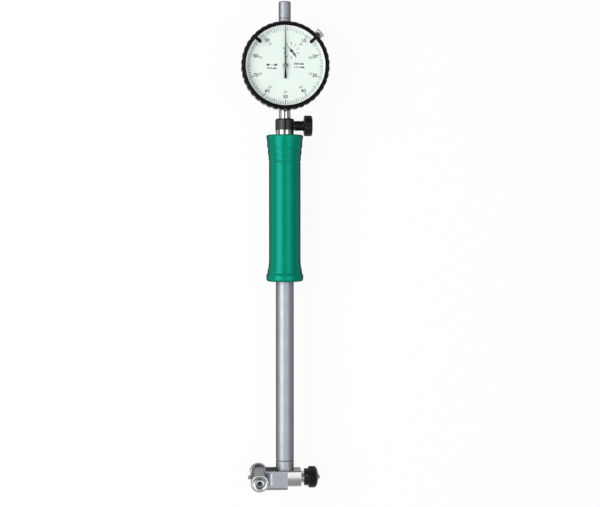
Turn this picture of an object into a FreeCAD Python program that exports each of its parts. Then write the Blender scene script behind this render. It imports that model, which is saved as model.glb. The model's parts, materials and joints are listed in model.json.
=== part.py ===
"""A two-point dial bore gauge: measuring head with its centring bridge, stem, handgrip, clamp and dial indicator.

Design axes: X runs along the measuring line with the moving contact on the negative side, Y runs up the stem to
the dial, and Z points out of the dial face. The design origin is where the measuring line meets the stem's axis.
All sizes are in millimetres. The gauge lies on its back, and save() moves each piece so that the row's origin is
under the middle of the gauge, on the surface that it lies on.
"""
import FreeCAD, Part
import math
import os
from FreeCAD import Vector

os.makedirs("parts", exist_ok=True)

ORIGIN = Vector(0, 0, 0)
X = Vector(1, 0, 0)
Y = Vector(0, 1, 0)
Z = Vector(0, 0, 1)

# ---------------------------------------------------------------- clearances
press_gap = 0.01          # radial gap of a pressed or cemented seat
running_gap = 0.04        # radial gap of a shaft that turns or slides
face_gap = 0.05           # gap between faces that slide on each other
free_gap = 0.25           # gap round a guided piece that must never rub

# ---------------------------------------------------------------- measuring head
block_left = 5.0          # stem axis to the block's contact end
block_right = 11.1        # stem axis to the block's anvil end
block_below = 5.4         # measuring line down to the block's underside
block_above = 5.6         # measuring line up to the block's top
block_half_depth = 6.8
block_chamfer = 0.9
collar_length = 6.6       # round collar on top of the block
spigot_length = 8.0       # part of the head inside the stem
neck_radius = 4.0         # threaded neck that carries the lock nut
neck_length = 7.9

# ---------------------------------------------------------------- contact, crank and push rod
contact_stroke = 1.6
contact_stand_out = 3.35  # tip of the moving contact beyond the cross bar
contact_tip_radius = 1.4
plunger_radius = 1.5
plunger_nose_radius = 1.0
sleeve_radius = 2.4       # outside of the contact's guide sleeve
sleeve_inset = 1.05       # sleeve's open end inside the cross bar's face
sleeve_end_wall = 1.1
crank_arm = 2.6           # both arms of the bell crank
crank_half_width = 0.6
crank_boss_radius = 1.1
crank_thickness = 2.4
crank_ball_radius = 0.9   # round ends that touch the crank's arms
crank_play = 0.16         # room left because round ends on straight arms aren't exactly linear
pivot_pin_radius = 0.55
push_rod_radius = 2.0
guide_lower_radius = 3.5
guide_lower_drop = 2.7    # spigot's end to the lower guide's top
guide_upper_drop = 47.5   # grip's top down to the upper guide
guide_upper_length = 8.0
rod_spring_length = 25.0
rod_spring_wire = 0.7
rod_spring_turns = 8
rod_flange_radius = 3.6
rod_flange_thickness = 1.5

# ---------------------------------------------------------------- anvil and its lock nut
anvil_reach = 24.4
anvil_shank_radius = 2.0
anvil_shank_length = 12.0
anvil_flange_step = 0.6   # flange's edge inside the neck's
anvil_flange_thickness = 1.4
anvil_nose_radius = 2.2
anvil_tip_radius = 1.2
anvil_tip_length = 0.9
nut_gap = 2.2             # block's end to the nut
nut_hub_radius = 5.95
nut_hub_length = 3.0
nut_head_radius = 7.4
nut_head_length = 5.7
nut_dome = 1.0
nut_grooves = 30
washer_thickness = 0.4
washer_step = 0.2         # washer's edge outside the neck's

# ---------------------------------------------------------------- centring bridge
bridge_travel = 8.4
bridge_stop_gap = 0.15
cross_bar_radius = 4.5
cross_bar_half = 16.2     # half length of the cross bar
wheel_seat = 0.2          # raised face that the wheel runs on
channel_right = 1.65
channel_wall = 1.15
channel_floor = 1.95
channel_drop = 0.1        # channel's walls below the block's top
channel_corner = 4.0      # outer rounding of the channel's lower edges
channel_inner_corner = 1.2
flare_radius = 5.0        # concave flare between cross bar and channel
flare_step = 0.3          # webs' faces inside the cross bar's outline
stop_pin_radius = 0.9
stop_pin_x = -1.0
stop_pin_z = -4.0
wheel_radius = 6.15
wheel_thickness = 3.95
wheel_chamfer = 0.6
wheel_bore = 2.0
wheel_counterbore = 3.3
wheel_web = 2.35          # thickness left under the screw's head
screw_head_radius = 3.1
screw_head_height = 1.35
screw_thread_radius = 1.4
screw_thread_length = 6.0
screw_hex_across = 2.9    # across the flats of the socket
screw_hex_depth = 1.1
spring_bore_radius = 1.7
spring_wall = 0.1         # metal between the sleeve's bore and a bridge spring's
spring_bore_end = 8.0
bridge_spring_wire = 0.45
bridge_spring_radius = 1.2
bridge_spring_turns = 8

# ---------------------------------------------------------------- stem, grip and clamp
stem_wall = 1.2
stem_free_length = 124.3  # between head collar and grip
stem_end_chamfer = 0.35
grip_length = 101.0
grip_radius = 10.9        # waist that the hand holds
grip_flare = 1.9          # how far the rings at both ends stand out
clamp_length = 11.2       # clamp collar above the grip
clamp_rim = 0.3           # collar outside the stem
clamp_neck_step = 0.05
clamp_spigot_length = 11.5
clamp_spigot_wall = 0.96
clamp_bore_gap = 0.03
clamp_slit = 0.8
clamp_knob_height = 6.4   # grip's top up to the knob's axis
knob_shank_radius = 3.4
knob_clear = 0.4          # knob's head outside the grip's ring
knob_head_radius = 7.1
knob_head_length = 5.7
knob_flutes = 10
knob_flute_radius = 1.1
stud_radius = 1.5
pad_thickness = 0.8
stud_in_knob = 8.3

# ---------------------------------------------------------------- dial indicator
bezel_radius = 30.15
bezel_gap = 5.05          # clamp collar's top to the bezel
bezel_wall = 2.39
bezel_turning_gap = 0.06
bezel_lip = 0.8           # thickness of the lip over the crystal
bezel_lip_overlap = 0.36
bezel_step_width = 1.1    # ring that the limit markers slide on
bezel_step_height = 0.6
bezel_scallops = 40
bezel_scallop_radius = 1.5
bezel_scallop_depth = 0.55
case_wall = 2.3           # in front of the movement
case_rear_wall = 4.7      # behind the movement
case_back = -6.9
cover_thickness = 2.0
cover_step = 0.5
cover_lip = 0.8
cover_screw_radius = 0.8
cover_screw_head = 1.5
cover_screw_length = 4.0
cover_screws = 4
stem_boss_wall = 0.9
stem_boss_top = 1.0       # how far the boss stands off the case
indicator_stem_radius = 4.0
indicator_stem_length = 20.75  # below the bezel's edge
spindle_radius = 2.0
spindle_contact_length = 7.0
spindle_stud_radius = 1.2
spindle_stud_length = 3.0
spindle_top = 6.0         # spindle's upper end outside the case's rear bore
cap_radius = 4.15
cap_stand_out = 17.3      # guard beyond the case
cap_bore = 2.6
cap_wall = 1.5
plate_back_z = 2.6
plate_thickness = 0.8
plate_spacing = 4.2       # room between the movement's plates
front_plate_radius = 17.6
plate_flat_step = 0.6     # flats that clear the bosses of stem and guard
pillar_radius = 1.3
pillar_stub_radius = 0.75
crystal_thickness = 1.2
crystal_room = 2.6        # dial up to the crystal
dial_bottom = 9.9
dial_thickness = 0.4
centre_dial_radius = 17.0
dial_split = 0.2          # ring gap between the turning scale and the fixed dial
spacer_slope = 1.1
wire_half = 0.3           # half width of the wire that keeps the bezel on the case
wire_height = 7.5
marker_angle = 47.7       # each limit marker, from the top of the dial
marker_length = 4.7       # marker's tip inside the window's edge
marker_half_width = 1.0
marker_foot_half_width = 2.6
marker_height = 0.6
screw_angle = 46.0        # bezel screw, clockwise from the top
bezel_screw_z = 1.0
bezel_screw_radius = 1.2
bezel_screw_neck = 1.25   # knob's foot outside the bezel
bezel_screw_knob_length = 3.4
bezel_screw_knob_radius = 3.3
shoe_half_width = 3.0
shoe_bottom = -1.6

# ---------------------------------------------------------------- gear train
rack_pitch = 0.625
rack_teeth_below = 17     # teeth below and above the rack pinion's centre
rack_teeth_above = 3
pinion_teeth = 16
wheel_teeth = 100
centre_teeth = 10
rack_depth = 0.45         # rack's pitch line below the spindle's side
hair_arbor_x = 4.0
gear_bottom = 4.2
gear_thickness = 0.8
tooth_share = 0.42        # tooth width over pitch, on the pitch line
pinion_share = 0.38
pressure_angle = 20.0
arbor_radius = 0.7
slim_arbor_radius = 0.5
pivot_radius = 0.33
guide_pin_y = 12.1        # above the dial centre
guide_pin_radius = 0.6
guide_pin_end = 0.8       # pin beyond the return spring's axis
rail_left = 3.2
rail_right = 6.0
rail_half_length = 7.0
return_post_edge = 3.68   # return spring's post inside the case's rear bore
return_post_radius = 0.7
return_spring_radius = 1.0
return_spring_wire = 0.35
return_spring_turns = 12
hairspring_turns = 5
hairspring_inner = 1.2
hairspring_outer = 4.6
hairspring_strip = 0.12
hairspring_height = 0.5

# ---------------------------------------------------------------- places worked out from the sizes
clamp_bore = indicator_stem_radius + clamp_bore_gap
stem_bore = clamp_bore + clamp_spigot_wall + press_gap
stem_radius = stem_bore + stem_wall
clamp_radius = stem_radius + clamp_rim
clamp_neck_radius = stem_radius - clamp_neck_step
grip_ring_radius = grip_radius + grip_flare
collar_top = block_above + collar_length
grip_bottom = collar_top + stem_free_length
grip_top = grip_bottom + grip_length
clamp_top = grip_top + clamp_length
knob_y = grip_top + clamp_knob_height
dial_y = clamp_top + bezel_gap + bezel_radius
guide_lower_top = collar_top + spigot_length - guide_lower_drop
guide_upper_bottom = grip_top - guide_upper_drop
anvil_flange_radius = neck_radius - anvil_flange_step
washer_radius = neck_radius + washer_step
channel_top = block_above - channel_drop
flare_half_height = cross_bar_radius - flare_step
spring_offset = sleeve_radius + spring_bore_radius + spring_wall
cavity_left = -(block_left + bridge_travel + bridge_stop_gap)
cross_bar_x = cavity_left - cross_bar_radius
cross_bar_face = cross_bar_radius - cross_bar_x
contact_reach = cross_bar_face + contact_stand_out
sleeve_reach = cross_bar_face - sleeve_inset
contact_tip_length = contact_reach - sleeve_reach - contact_stroke - 0.1
wheel_inner_z = cross_bar_half + wheel_seat + face_gap
wheel_outer_z = wheel_inner_z + wheel_thickness
channel_half = block_half_depth + free_gap + channel_wall
channel_bottom = -(block_below + free_gap + channel_floor)
neck_end = block_right + neck_length
nut_start = block_right + nut_gap
nut_end = nut_start + nut_hub_length + nut_head_length
pivot = Vector(-crank_arm, crank_arm, 0)
crank_half_swing = contact_stroke / 2 / crank_arm
ball_offset = crank_half_width + crank_ball_radius + crank_play
plunger_ball_x = pivot.x - ball_offset - contact_stroke / 2
rod_ball_y = pivot.y + ball_offset - contact_stroke / 2
chamber_left = pivot.x - crank_arm * math.sin(crank_half_swing) - crank_half_width - 0.1
chamber_right = crank_ball_radius + 0.4
chamber_bottom = -crank_half_width - 0.6
chamber_top = pivot.y + crank_boss_radius + 0.9
chamber_half = crank_thickness / 2 + 0.15
rod_top = grip_top - 16.1
spindle_bottom = rod_top + 0.1 + spindle_contact_length
module = rack_pitch / math.pi
rack_line = spindle_radius - rack_depth
rack_arbor_x = -rack_line - module * pinion_teeth / 2
gear_distance = module * (wheel_teeth + centre_teeth) / 2
rack_arbor_y = -math.sqrt(gear_distance ** 2 - rack_arbor_x ** 2)
hair_arbor_y = math.sqrt(gear_distance ** 2 - hair_arbor_x ** 2)
plate_front_z = plate_back_z + plate_thickness + plate_spacing
case_front = dial_bottom - 0.1
dial_top = dial_bottom + dial_thickness
crystal_bottom = dial_top + crystal_room
bezel_lip_top = crystal_bottom + crystal_thickness + bezel_lip
bezel_front = bezel_lip_top + bezel_step_height
small_hand_z = dial_top + 0.45
main_hand_z = dial_top + 1.15
stem_boss_radius = indicator_stem_radius + stem_boss_wall
bezel_back = stem_boss_radius + 0.1
bezel_bore = bezel_radius - bezel_wall
case_radius = bezel_bore - bezel_turning_gap
case_bore = case_radius - case_wall
case_rear_bore = case_radius - case_rear_wall
case_ledge_circle = (case_bore + case_rear_bore) / 2
cover_back = case_back - cover_thickness
cover_radius = case_radius - cover_step
cover_screw_circle = (case_radius + case_rear_bore) / 2 - 0.05
cap_top = case_radius + cap_stand_out
plate_flat = case_rear_bore + plate_flat_step
insert_radius = case_radius - face_gap
window_radius = bezel_bore - bezel_lip_overlap
bezel_step_radius = window_radius + bezel_step_width
spacer_foot_radius = window_radius - spacer_slope
marker_tip_radius = window_radius - marker_length
return_spring_x = rail_right + return_spring_radius + return_spring_wire / 2 + 0.225
return_spring_top = guide_pin_y - guide_pin_radius - 0.02
return_post_top = return_post_edge - case_rear_bore + return_post_radius
screw_direction = Vector(math.sin(math.radians(screw_angle)), math.cos(math.radians(screw_angle)), 0)
dial_centre = Vector(0, dial_y, 0)
length_above = dial_y + cap_top
home = Vector(0, -(length_above + channel_bottom) / 2, wheel_outer_z)


# ---------------------------------------------------------------- tools of the trade
def save(name, *solids):
    """Write one piece, or a group of like pieces, as the row's own STEP file."""
    shape = solids[0] if len(solids) == 1 else Part.makeCompound(list(solids))
    placed = shape.copy()
    placed.translate(home)
    placed.exportStep("parts/" + name + ".step")


def closed_face(steps, place):
    """A flat face. Each step is a point, or a pair of points: an arc through the first one to the second."""
    edges = []
    here = place(steps[0])
    for step in steps[1:] + steps[:1]:
        if isinstance(step[0], tuple):
            end = place(step[1])
            edges.append(Part.Arc(here, place(step[0]), end).toShape())
        else:
            end = place(step)
            edges.append(Part.makeLine(here, end))
        here = end
    return Part.Face(Part.Wire(edges))


def turned(steps, origin, axis):
    """A turned piece: steps are (radius, height) along the axis."""
    out = X if abs(axis.z) > 0.5 else Z
    face = closed_face(steps, lambda p: origin + out * p[0] + axis * p[1])
    return face.revolve(origin, axis, 360)


def plate(steps, bottom, thickness):
    """A flat piece: steps are (x, y), and the piece stands on the height bottom."""
    face = closed_face(steps, lambda p: Vector(p[0], p[1], bottom))
    return face.extrude(Z * thickness)


def bar(radius, start, axis, length):
    return Part.makeCylinder(radius, length, start, axis)


def box(x, y, z):
    """A box from its three (low, high) spans."""
    size = (x[1] - x[0], y[1] - y[0], z[1] - z[0])
    return Part.makeBox(size[0], size[1], size[2], Vector(x[0], y[0], z[0]))


def joined(first, *others):
    return first.fuse(list(others)).removeSplitter()


def polar(radius, degrees, height=0.0):
    """A point round the dial centre, clockwise from the top."""
    turn = math.radians(degrees)
    return Vector(radius * math.sin(turn), dial_y + radius * math.cos(turn), height)


def flutes(count, circle, radius, start, axis, length):
    """Round cutters set evenly round an axis."""
    out = X if abs(axis.z) > 0.5 else Z
    cutters = []
    for index in range(count):
        cutter = bar(radius, start + out * circle, axis, length)
        cutter.rotate(start, axis, index * 360 / count)
        cutters.append(cutter)
    return cutters


def grooves(count, floor, start, axis, length):
    """Square bars that cut V-grooves round an axis, down to the radius floor."""
    out = X if abs(axis.z) > 0.5 else Z
    side = axis.cross(out)
    tip = start + out * floor
    corners = [tip, tip + (out + side) * 1.5, tip + out * 3, tip + (out - side) * 1.5, tip]
    cutters = []
    for index in range(count):
        cutter = Part.Face(Part.makePolygon(corners)).extrude(axis * length)
        cutter.rotate(start, axis, index * 360 / count)
        cutters.append(cutter)
    return cutters


def coil_spring(mean_radius, wire, turns, start, axis, length, steps=12):
    """A helical spring of square wire, built from flat facets."""
    out = X if abs(axis.z) > 0.5 else Z
    side = axis.cross(out)
    rise = length - wire
    half = wire / 2
    rings = []
    for index in range(turns * steps + 1):
        turn = 2 * math.pi * index / steps
        level = half + rise * index / (turns * steps)
        spoke = out * math.cos(turn) + side * math.sin(turn)
        centre = start + axis * level
        corners = ((-half, -half), (half, -half), (half, half), (-half, half))
        rings.append([centre + spoke * (mean_radius + r) + axis * h for r, h in corners])
    faces = [triangle(ends[0], ends[1], ends[2]) for ends in (rings[0], rings[-1])]
    faces += [triangle(ends[0], ends[2], ends[3]) for ends in (rings[0], rings[-1])]
    for low, high in zip(rings, rings[1:]):
        for index in range(4):
            after = (index + 1) % 4
            faces.append(triangle(low[index], low[after], high[after]))
            faces.append(triangle(low[index], high[after], high[index]))
    solid = Part.Solid(Part.makeShell(faces))
    if solid.Volume < 0:
        solid.reverse()
    return solid


def cap_middle(radius, height):
    """Middle point of a round cap's profile: distance from the axis, and height above the cap's foot."""
    ball = (radius ** 2 + height ** 2) / (2 * height)
    half = math.asin(radius / ball) / 2
    return ball * math.sin(half), height - ball * (1 - math.cos(half))


def triangle(a, b, c):
    return Part.Face(Part.makePolygon([a, b, c, a]))


def tooth_outline(teeth, share, phase):
    """Corner points of a spur gear with straight flanks; phase is the angle of one tooth, in radians."""
    pitch_radius = module * teeth / 2
    tip = pitch_radius + 0.85 * module
    root = pitch_radius - 1.25 * module
    lean = math.tan(math.radians(pressure_angle))
    half_pitch_width = share * rack_pitch / 2
    half_tip = (half_pitch_width - 0.85 * module * lean) / tip
    half_root = (half_pitch_width + 1.25 * module * lean) / root
    points = []
    for index in range(teeth):
        middle = phase + 2 * math.pi * index / teeth
        for radius, offset in ((root, -half_root), (tip, -half_tip), (tip, half_tip), (root, half_root)):
            points.append((radius * math.cos(middle + offset), radius * math.sin(middle + offset)))
    return points


def gear(teeth, share, phase, x, y, bottom, thickness):
    """A spur gear at x, y from the dial centre."""
    points = [(x + px, dial_y + y + py) for px, py in tooth_outline(teeth, share, phase)]
    return plate(points, bottom, thickness)


# ---------------------------------------------------------------- measuring head
def head_body():
    """Chromed block with a round collar, the neck for the anvil's nut and the crank's chamber."""
    block = box((-block_left, block_right), (-block_below, block_above), (-block_half_depth, block_half_depth))
    long_edges = [e for e in block.Edges if abs(e.tangentAt(e.FirstParameter).x) > 0.9]
    block = block.makeChamfer(block_chamfer, long_edges)
    spigot_radius = stem_bore - press_gap
    root_radius = block_left - 0.1
    collar = turned(
        [(0, block_above - 1), (root_radius, block_above - 1), (root_radius, block_above), (stem_radius, block_above),
         (stem_radius, collar_top - stem_end_chamfer), (stem_radius - stem_end_chamfer, collar_top),
         (spigot_radius, collar_top), (spigot_radius, collar_top + spigot_length - 0.5),
         (spigot_radius - 0.5, collar_top + spigot_length), (0, collar_top + spigot_length)], ORIGIN, Y)
    neck = turned(
        [(0, 0), (neck_radius, 0), (neck_radius, neck_length - 0.5), (neck_radius - 0.5, neck_length),
         (0, neck_length)], X * block_right, X)
    head = joined(block, collar, neck)
    bush_bore = bar(guide_lower_radius + press_gap, Y * chamber_top, Y, collar_top + spigot_length)
    pin_half = block_half_depth - 0.6
    cuts = [
        box((chamber_left, chamber_right), (-block_below - 1, chamber_top + 1), (-chamber_half, chamber_half)),
        bush_bore,
        bar(pivot_pin_radius + press_gap, pivot - Z * pin_half, Z, 2 * pin_half),
        bar(sleeve_radius + press_gap, X * -(block_left + 1), X, block_left + 1 + chamber_left),
        bar(anvil_shank_radius + running_gap, X * (neck_end - anvil_shank_length - 0.3), X, anvil_shank_length + 1),
        bar(stop_pin_radius + press_gap, Vector(stop_pin_x, -block_below - 1, stop_pin_z), Y, 4.2),
    ]
    for side in (-1, 1):
        mouth = Vector(-block_left - 1, 0, side * spring_offset)
        cuts.append(bar(spring_bore_radius, mouth, X, block_left + 1 + spring_bore_end))
    save("head_body", head.cut(cuts).removeSplitter())


def chamber_plug():
    """Pressed plug that closes the crank's chamber from below."""
    gap = press_gap
    plug = box((chamber_left + gap, chamber_right - gap), (-block_below, -block_below + 1.5),
               (-chamber_half + gap, chamber_half - gap))
    save("chamber_plug", plug)


def pivot_pin():
    half = block_half_depth - 0.7
    save("pivot_pin", bar(pivot_pin_radius, pivot - Z * half, Z, 2 * half))


def bell_crank():
    """Equal-armed crank that turns the contact's push through a right angle."""
    half = crank_thickness / 2
    arms = []
    for direction in (X, -Y):
        tip = pivot + direction * crank_arm
        across = Z.cross(direction) * crank_half_width
        corners = [pivot + across, tip + across, tip - across, pivot - across, pivot + across]
        arms.append(Part.Face(Part.makePolygon([c - Z * half for c in corners])).extrude(Z * crank_thickness))
        arms.append(bar(crank_half_width, tip - Z * half, Z, crank_thickness))
    crank = joined(bar(crank_boss_radius, pivot - Z * half, Z, crank_thickness), *arms)
    crank = crank.cut(bar(pivot_pin_radius + running_gap, pivot - Z * half, Z, crank_thickness))
    crank.rotate(pivot, Z, -math.degrees(crank_half_swing))
    save("bell_crank", crank)


def contact_sleeve():
    """Guide of the moving contact, pressed into the block; its end wall keeps the plunger in."""
    bore = plunger_radius + running_gap
    nose_bore = plunger_nose_radius + running_gap
    end = -sleeve_reach
    save("contact_sleeve", turned(
        [(bore, chamber_left), (sleeve_radius, chamber_left), (sleeve_radius, end + 0.5), (sleeve_radius - 0.5, end),
         (nose_bore, end), (nose_bore, end + sleeve_end_wall), (bore, end + sleeve_end_wall)], ORIGIN, X))


def contact_plunger():
    shoulder = -sleeve_reach + sleeve_end_wall + 0.1
    body_end = plunger_ball_x - crank_ball_radius
    nose_end = -contact_reach + contact_tip_length - 0.7
    ball = crank_ball_radius
    diagonal = ball * math.sqrt(0.5)
    save("contact_plunger", turned(
        [(0, nose_end), (plunger_nose_radius, nose_end), (plunger_nose_radius, shoulder), (plunger_radius, shoulder),
         (plunger_radius, body_end), (ball, body_end), (ball, plunger_ball_x),
         ((diagonal, plunger_ball_x + diagonal), (0, plunger_ball_x + ball))], ORIGIN, X))


def contact_tip():
    """Rounded measuring tip on the plunger's nose."""
    tip = -contact_reach
    back = tip + contact_tip_length
    seat = plunger_nose_radius + press_gap
    r = contact_tip_radius
    dome = 1.1
    middle, rise = cap_middle(r, dome)
    save("contact_tip", turned(
        [(0, tip), ((middle, tip + dome - rise), (r, tip + dome)), (r, back), (seat, back), (seat, back - 0.7),
         (0, back - 0.7)], ORIGIN, X))


def push_rod():
    """Long rod in the stem that carries the crank's lift up to the indicator."""
    r = push_rod_radius
    ball = crank_ball_radius
    diagonal = ball * math.sqrt(0.5)
    flange = guide_upper_bottom - rod_spring_length
    save("push_rod", turned(
        [(0, rod_ball_y - ball), ((diagonal, rod_ball_y - diagonal), (ball, rod_ball_y)), (ball, chamber_top + 0.4),
         (r, chamber_top + 0.9), (r, flange - rod_flange_thickness), (rod_flange_radius, flange - rod_flange_thickness),
         (rod_flange_radius, flange), (r, flange), (r, rod_top - 0.4), (r - 0.4, rod_top), (0, rod_top)], ORIGIN, Y))


def rod_guides():
    bore = push_rod_radius + running_gap
    low = chamber_top + 1.2
    r = guide_lower_radius
    save("rod_guide_lower", turned(
        [(bore, low), (r, low), (r, guide_lower_top - 0.3), (r - 0.3, guide_lower_top), (bore, guide_lower_top)],
        ORIGIN, Y))
    r = stem_bore - press_gap
    low = guide_upper_bottom
    high = guide_upper_bottom + guide_upper_length
    save("rod_guide_upper", turned(
        [(bore, low), (r - 0.4, low), (r, low + 0.4), (r, high - 0.4), (r - 0.4, high), (bore, high)], ORIGIN, Y))


def rod_spring():
    """Spring that presses rod, crank and contact outward."""
    mean = push_rod_radius + 0.9
    start = Y * (guide_upper_bottom - rod_spring_length + 0.02)
    length = rod_spring_length - 0.04
    save("rod_spring", coil_spring(mean, rod_spring_wire, rod_spring_turns, start, Y, length))


# ---------------------------------------------------------------- anvil side
def anvil():
    start = neck_end - anvil_shank_length
    flange_end = neck_end + face_gap + anvil_flange_thickness
    nose_end = anvil_reach - anvil_tip_length
    seat = anvil_tip_radius + press_gap
    save("anvil", turned(
        [(0, start), (anvil_shank_radius - 0.3, start), (anvil_shank_radius, start + 0.3),
         (anvil_shank_radius, neck_end + face_gap), (anvil_flange_radius, neck_end + face_gap),
         (anvil_flange_radius, flange_end), (anvil_nose_radius, flange_end), (anvil_nose_radius, nose_end - 0.4),
         (anvil_nose_radius - 0.4, nose_end), (seat, nose_end), (seat, nose_end - 0.8), (0, nose_end - 0.8)],
        ORIGIN, X))


def anvil_tip():
    """Hard point set into the anvil."""
    back = anvil_reach - anvil_tip_length - 0.8
    r = anvil_tip_radius
    dome = 0.5
    middle, rise = cap_middle(r, dome)
    foot = anvil_reach - dome
    save("anvil_tip", turned([(0, back), (r, back), (r, foot), ((middle, foot + rise), (0, anvil_reach))],
                             ORIGIN, X))


def anvil_nut():
    """Black lock nut, grooved for the fingers, that holds the anvil's flange on the neck."""
    hub_end = nut_start + nut_hub_length
    pocket = neck_end + face_gap + anvil_flange_thickness
    shoulder = pocket + 2 * face_gap + washer_thickness
    seat = washer_radius + running_gap
    bore = neck_radius + running_gap
    hole = anvil_nose_radius + 0.15
    r = nut_head_radius
    nut = turned(
        [(bore, nut_start), (nut_hub_radius - 0.4, nut_start), (nut_hub_radius, nut_start + 0.4),
         (nut_hub_radius, hub_end), (r - 0.5, hub_end), (r, hub_end + 0.5), (r, nut_end - 1.2),
         (r - 1.1, nut_end), (r - 2.8, nut_end + 0.75), (hole + 0.4, nut_end + nut_dome),
         (hole, nut_end + nut_dome - 0.3), (hole, shoulder), (seat, shoulder), (seat, pocket), (bore, pocket)],
        ORIGIN, X)
    save("anvil_nut", nut.cut(grooves(nut_grooves, r - 0.5, X * (hub_end - 1), X, nut_end - hub_end + 1)))


def nut_washer():
    """Thrust washer caught in the lock nut's pocket."""
    low = neck_end + 2 * face_gap + anvil_flange_thickness
    bore = anvil_nose_radius + 0.1
    save("nut_washer", turned(
        [(bore, low), (washer_radius, low), (washer_radius, low + washer_thickness), (bore, low + washer_thickness)],
        ORIGIN, X))


# ---------------------------------------------------------------- centring bridge
def channel_outline(half, bottom, corner, top):
    """A trough section in (z, y), open at the top."""
    bend = corner * (1 - math.sqrt(0.5))
    return [
        (-half, top), (-half, bottom + corner),
        ((-half + bend, bottom + bend), (-half + corner, bottom)), (half - corner, bottom),
        ((half - bend, bottom + bend), (half, bottom + corner)), (half, top)]


def bridge_body():
    """T-shaped bridge: a trough that slides over the head block, flared into a round cross bar."""
    length = channel_right - cavity_left
    outer = channel_outline(channel_half, channel_bottom, channel_corner, channel_top)
    trough = closed_face(outer, lambda p: Vector(cavity_left - 1, p[1], p[0])).extrude(X * (length + 1))
    cross_bar = bar(cross_bar_radius, Vector(cross_bar_x, 0, -cross_bar_half), Z, 2 * cross_bar_half)
    seats = bar(screw_head_radius, Vector(cross_bar_x, 0, -cross_bar_half - wheel_seat), Z,
                2 * (cross_bar_half + wheel_seat))
    flare_z = channel_half + flare_radius
    flare_x = cavity_left + flare_radius
    bend = flare_radius * (1 - math.sqrt(0.5))
    web = [
        (cross_bar_x, -flare_z), (cavity_left, -flare_z),
        ((cavity_left + bend, -channel_half - bend), (flare_x, -channel_half)), (flare_x, channel_half),
        ((cavity_left + bend, channel_half + bend), (cavity_left, flare_z)), (cross_bar_x, flare_z)]
    webs = closed_face(web, lambda p: Vector(p[0], -flare_half_height, p[1])).extrude(Y * 2 * flare_half_height)
    body = joined(trough, cross_bar, seats, webs)
    inner_half = block_half_depth + free_gap
    inner_bottom = -(block_below + free_gap)
    inner = channel_outline(inner_half, inner_bottom, channel_inner_corner, channel_top + 2)
    cavity = closed_face(inner, lambda p: Vector(cavity_left, p[1], p[0])).extrude(X * (length + 1))
    slot_left = stop_pin_x - stop_pin_radius - bridge_travel - 0.15
    slot_right = stop_pin_x + stop_pin_radius + 0.1
    slot_half = stop_pin_radius + 0.1
    slot = box((slot_left, slot_right), (channel_bottom - 1, inner_bottom + 1),
               (stop_pin_z - slot_half, stop_pin_z + slot_half))
    sleeve_hole = bar(sleeve_radius + running_gap, X * (cross_bar_x - 10), X, 20)
    cuts = [cavity, slot, sleeve_hole]
    for side in (-1, 1):
        end = Vector(cross_bar_x, 0, side * (cross_bar_half + wheel_seat))
        cuts.append(bar(screw_thread_radius + press_gap, end, Z * -side, screw_thread_length + 0.5))
    save("bridge_body", body.cut(cuts).removeSplitter())


def bridge_stop_pin():
    """Pin in the block that runs in the bridge's slot and keeps the springs from pushing the bridge off."""
    low = channel_bottom + 0.3
    save("bridge_stop_pin", bar(stop_pin_radius, Vector(stop_pin_x, low, stop_pin_z), Y, -block_below + 3.0 - low))


def wheels():
    """Centring wheels with bevelled rims and a shallow dished outer face."""
    r = wheel_radius
    t = wheel_thickness
    c = wheel_chamfer
    profile = [
        (wheel_bore, 0), (r - c, 0), (r, c), (r, t - c), (r - c, t), (r - 1.5, t), (r - 1.75, t - 0.2),
        (wheel_counterbore, t - 0.2), (wheel_counterbore, wheel_web), (wheel_bore, wheel_web)]
    upper = turned(profile, Vector(cross_bar_x, 0, wheel_inner_z), Z)
    save("wheel_upper", upper)
    save("wheel_lower", upper.mirror(ORIGIN, Z))


def wheel_screws():
    """Shoulder screws with a socket head; the wheels turn on their shoulders."""
    seat = cross_bar_half + wheel_seat
    shoulder = wheel_bore - running_gap
    head = wheel_inner_z + wheel_web + face_gap
    top = head + screw_head_height
    screw = turned(
        [(0, seat - screw_thread_length), (screw_thread_radius, seat - screw_thread_length),
         (screw_thread_radius, seat), (shoulder, seat), (shoulder, head), (screw_head_radius, head),
         (screw_head_radius, top - 0.25), (screw_head_radius - 0.25, top), (0, top)], X * cross_bar_x, Z)
    corner = screw_hex_across / math.sqrt(3)
    corners = [(cross_bar_x + corner * math.cos(math.radians(60 * i)), corner * math.sin(math.radians(60 * i)))
               for i in range(6)]
    screw = screw.cut(plate(corners, top - screw_hex_depth, screw_hex_depth + 1))
    save("wheel_screws", screw, screw.mirror(ORIGIN, Z))


def bridge_springs():
    length = spring_bore_end - cavity_left - 0.04
    springs = []
    for side in (-1, 1):
        start = Vector(cavity_left + 0.02, 0, side * spring_offset)
        springs.append(coil_spring(bridge_spring_radius, bridge_spring_wire, bridge_spring_turns, start, X, length))
    save("bridge_springs", *springs)


# ---------------------------------------------------------------- stem, grip and clamp
def stem_tube():
    c = stem_end_chamfer
    save("stem_tube", turned(
        [(stem_bore, collar_top), (stem_radius - c, collar_top), (stem_radius, collar_top + c),
         (stem_radius, grip_top), (stem_bore, grip_top)], ORIGIN, Y))


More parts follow.
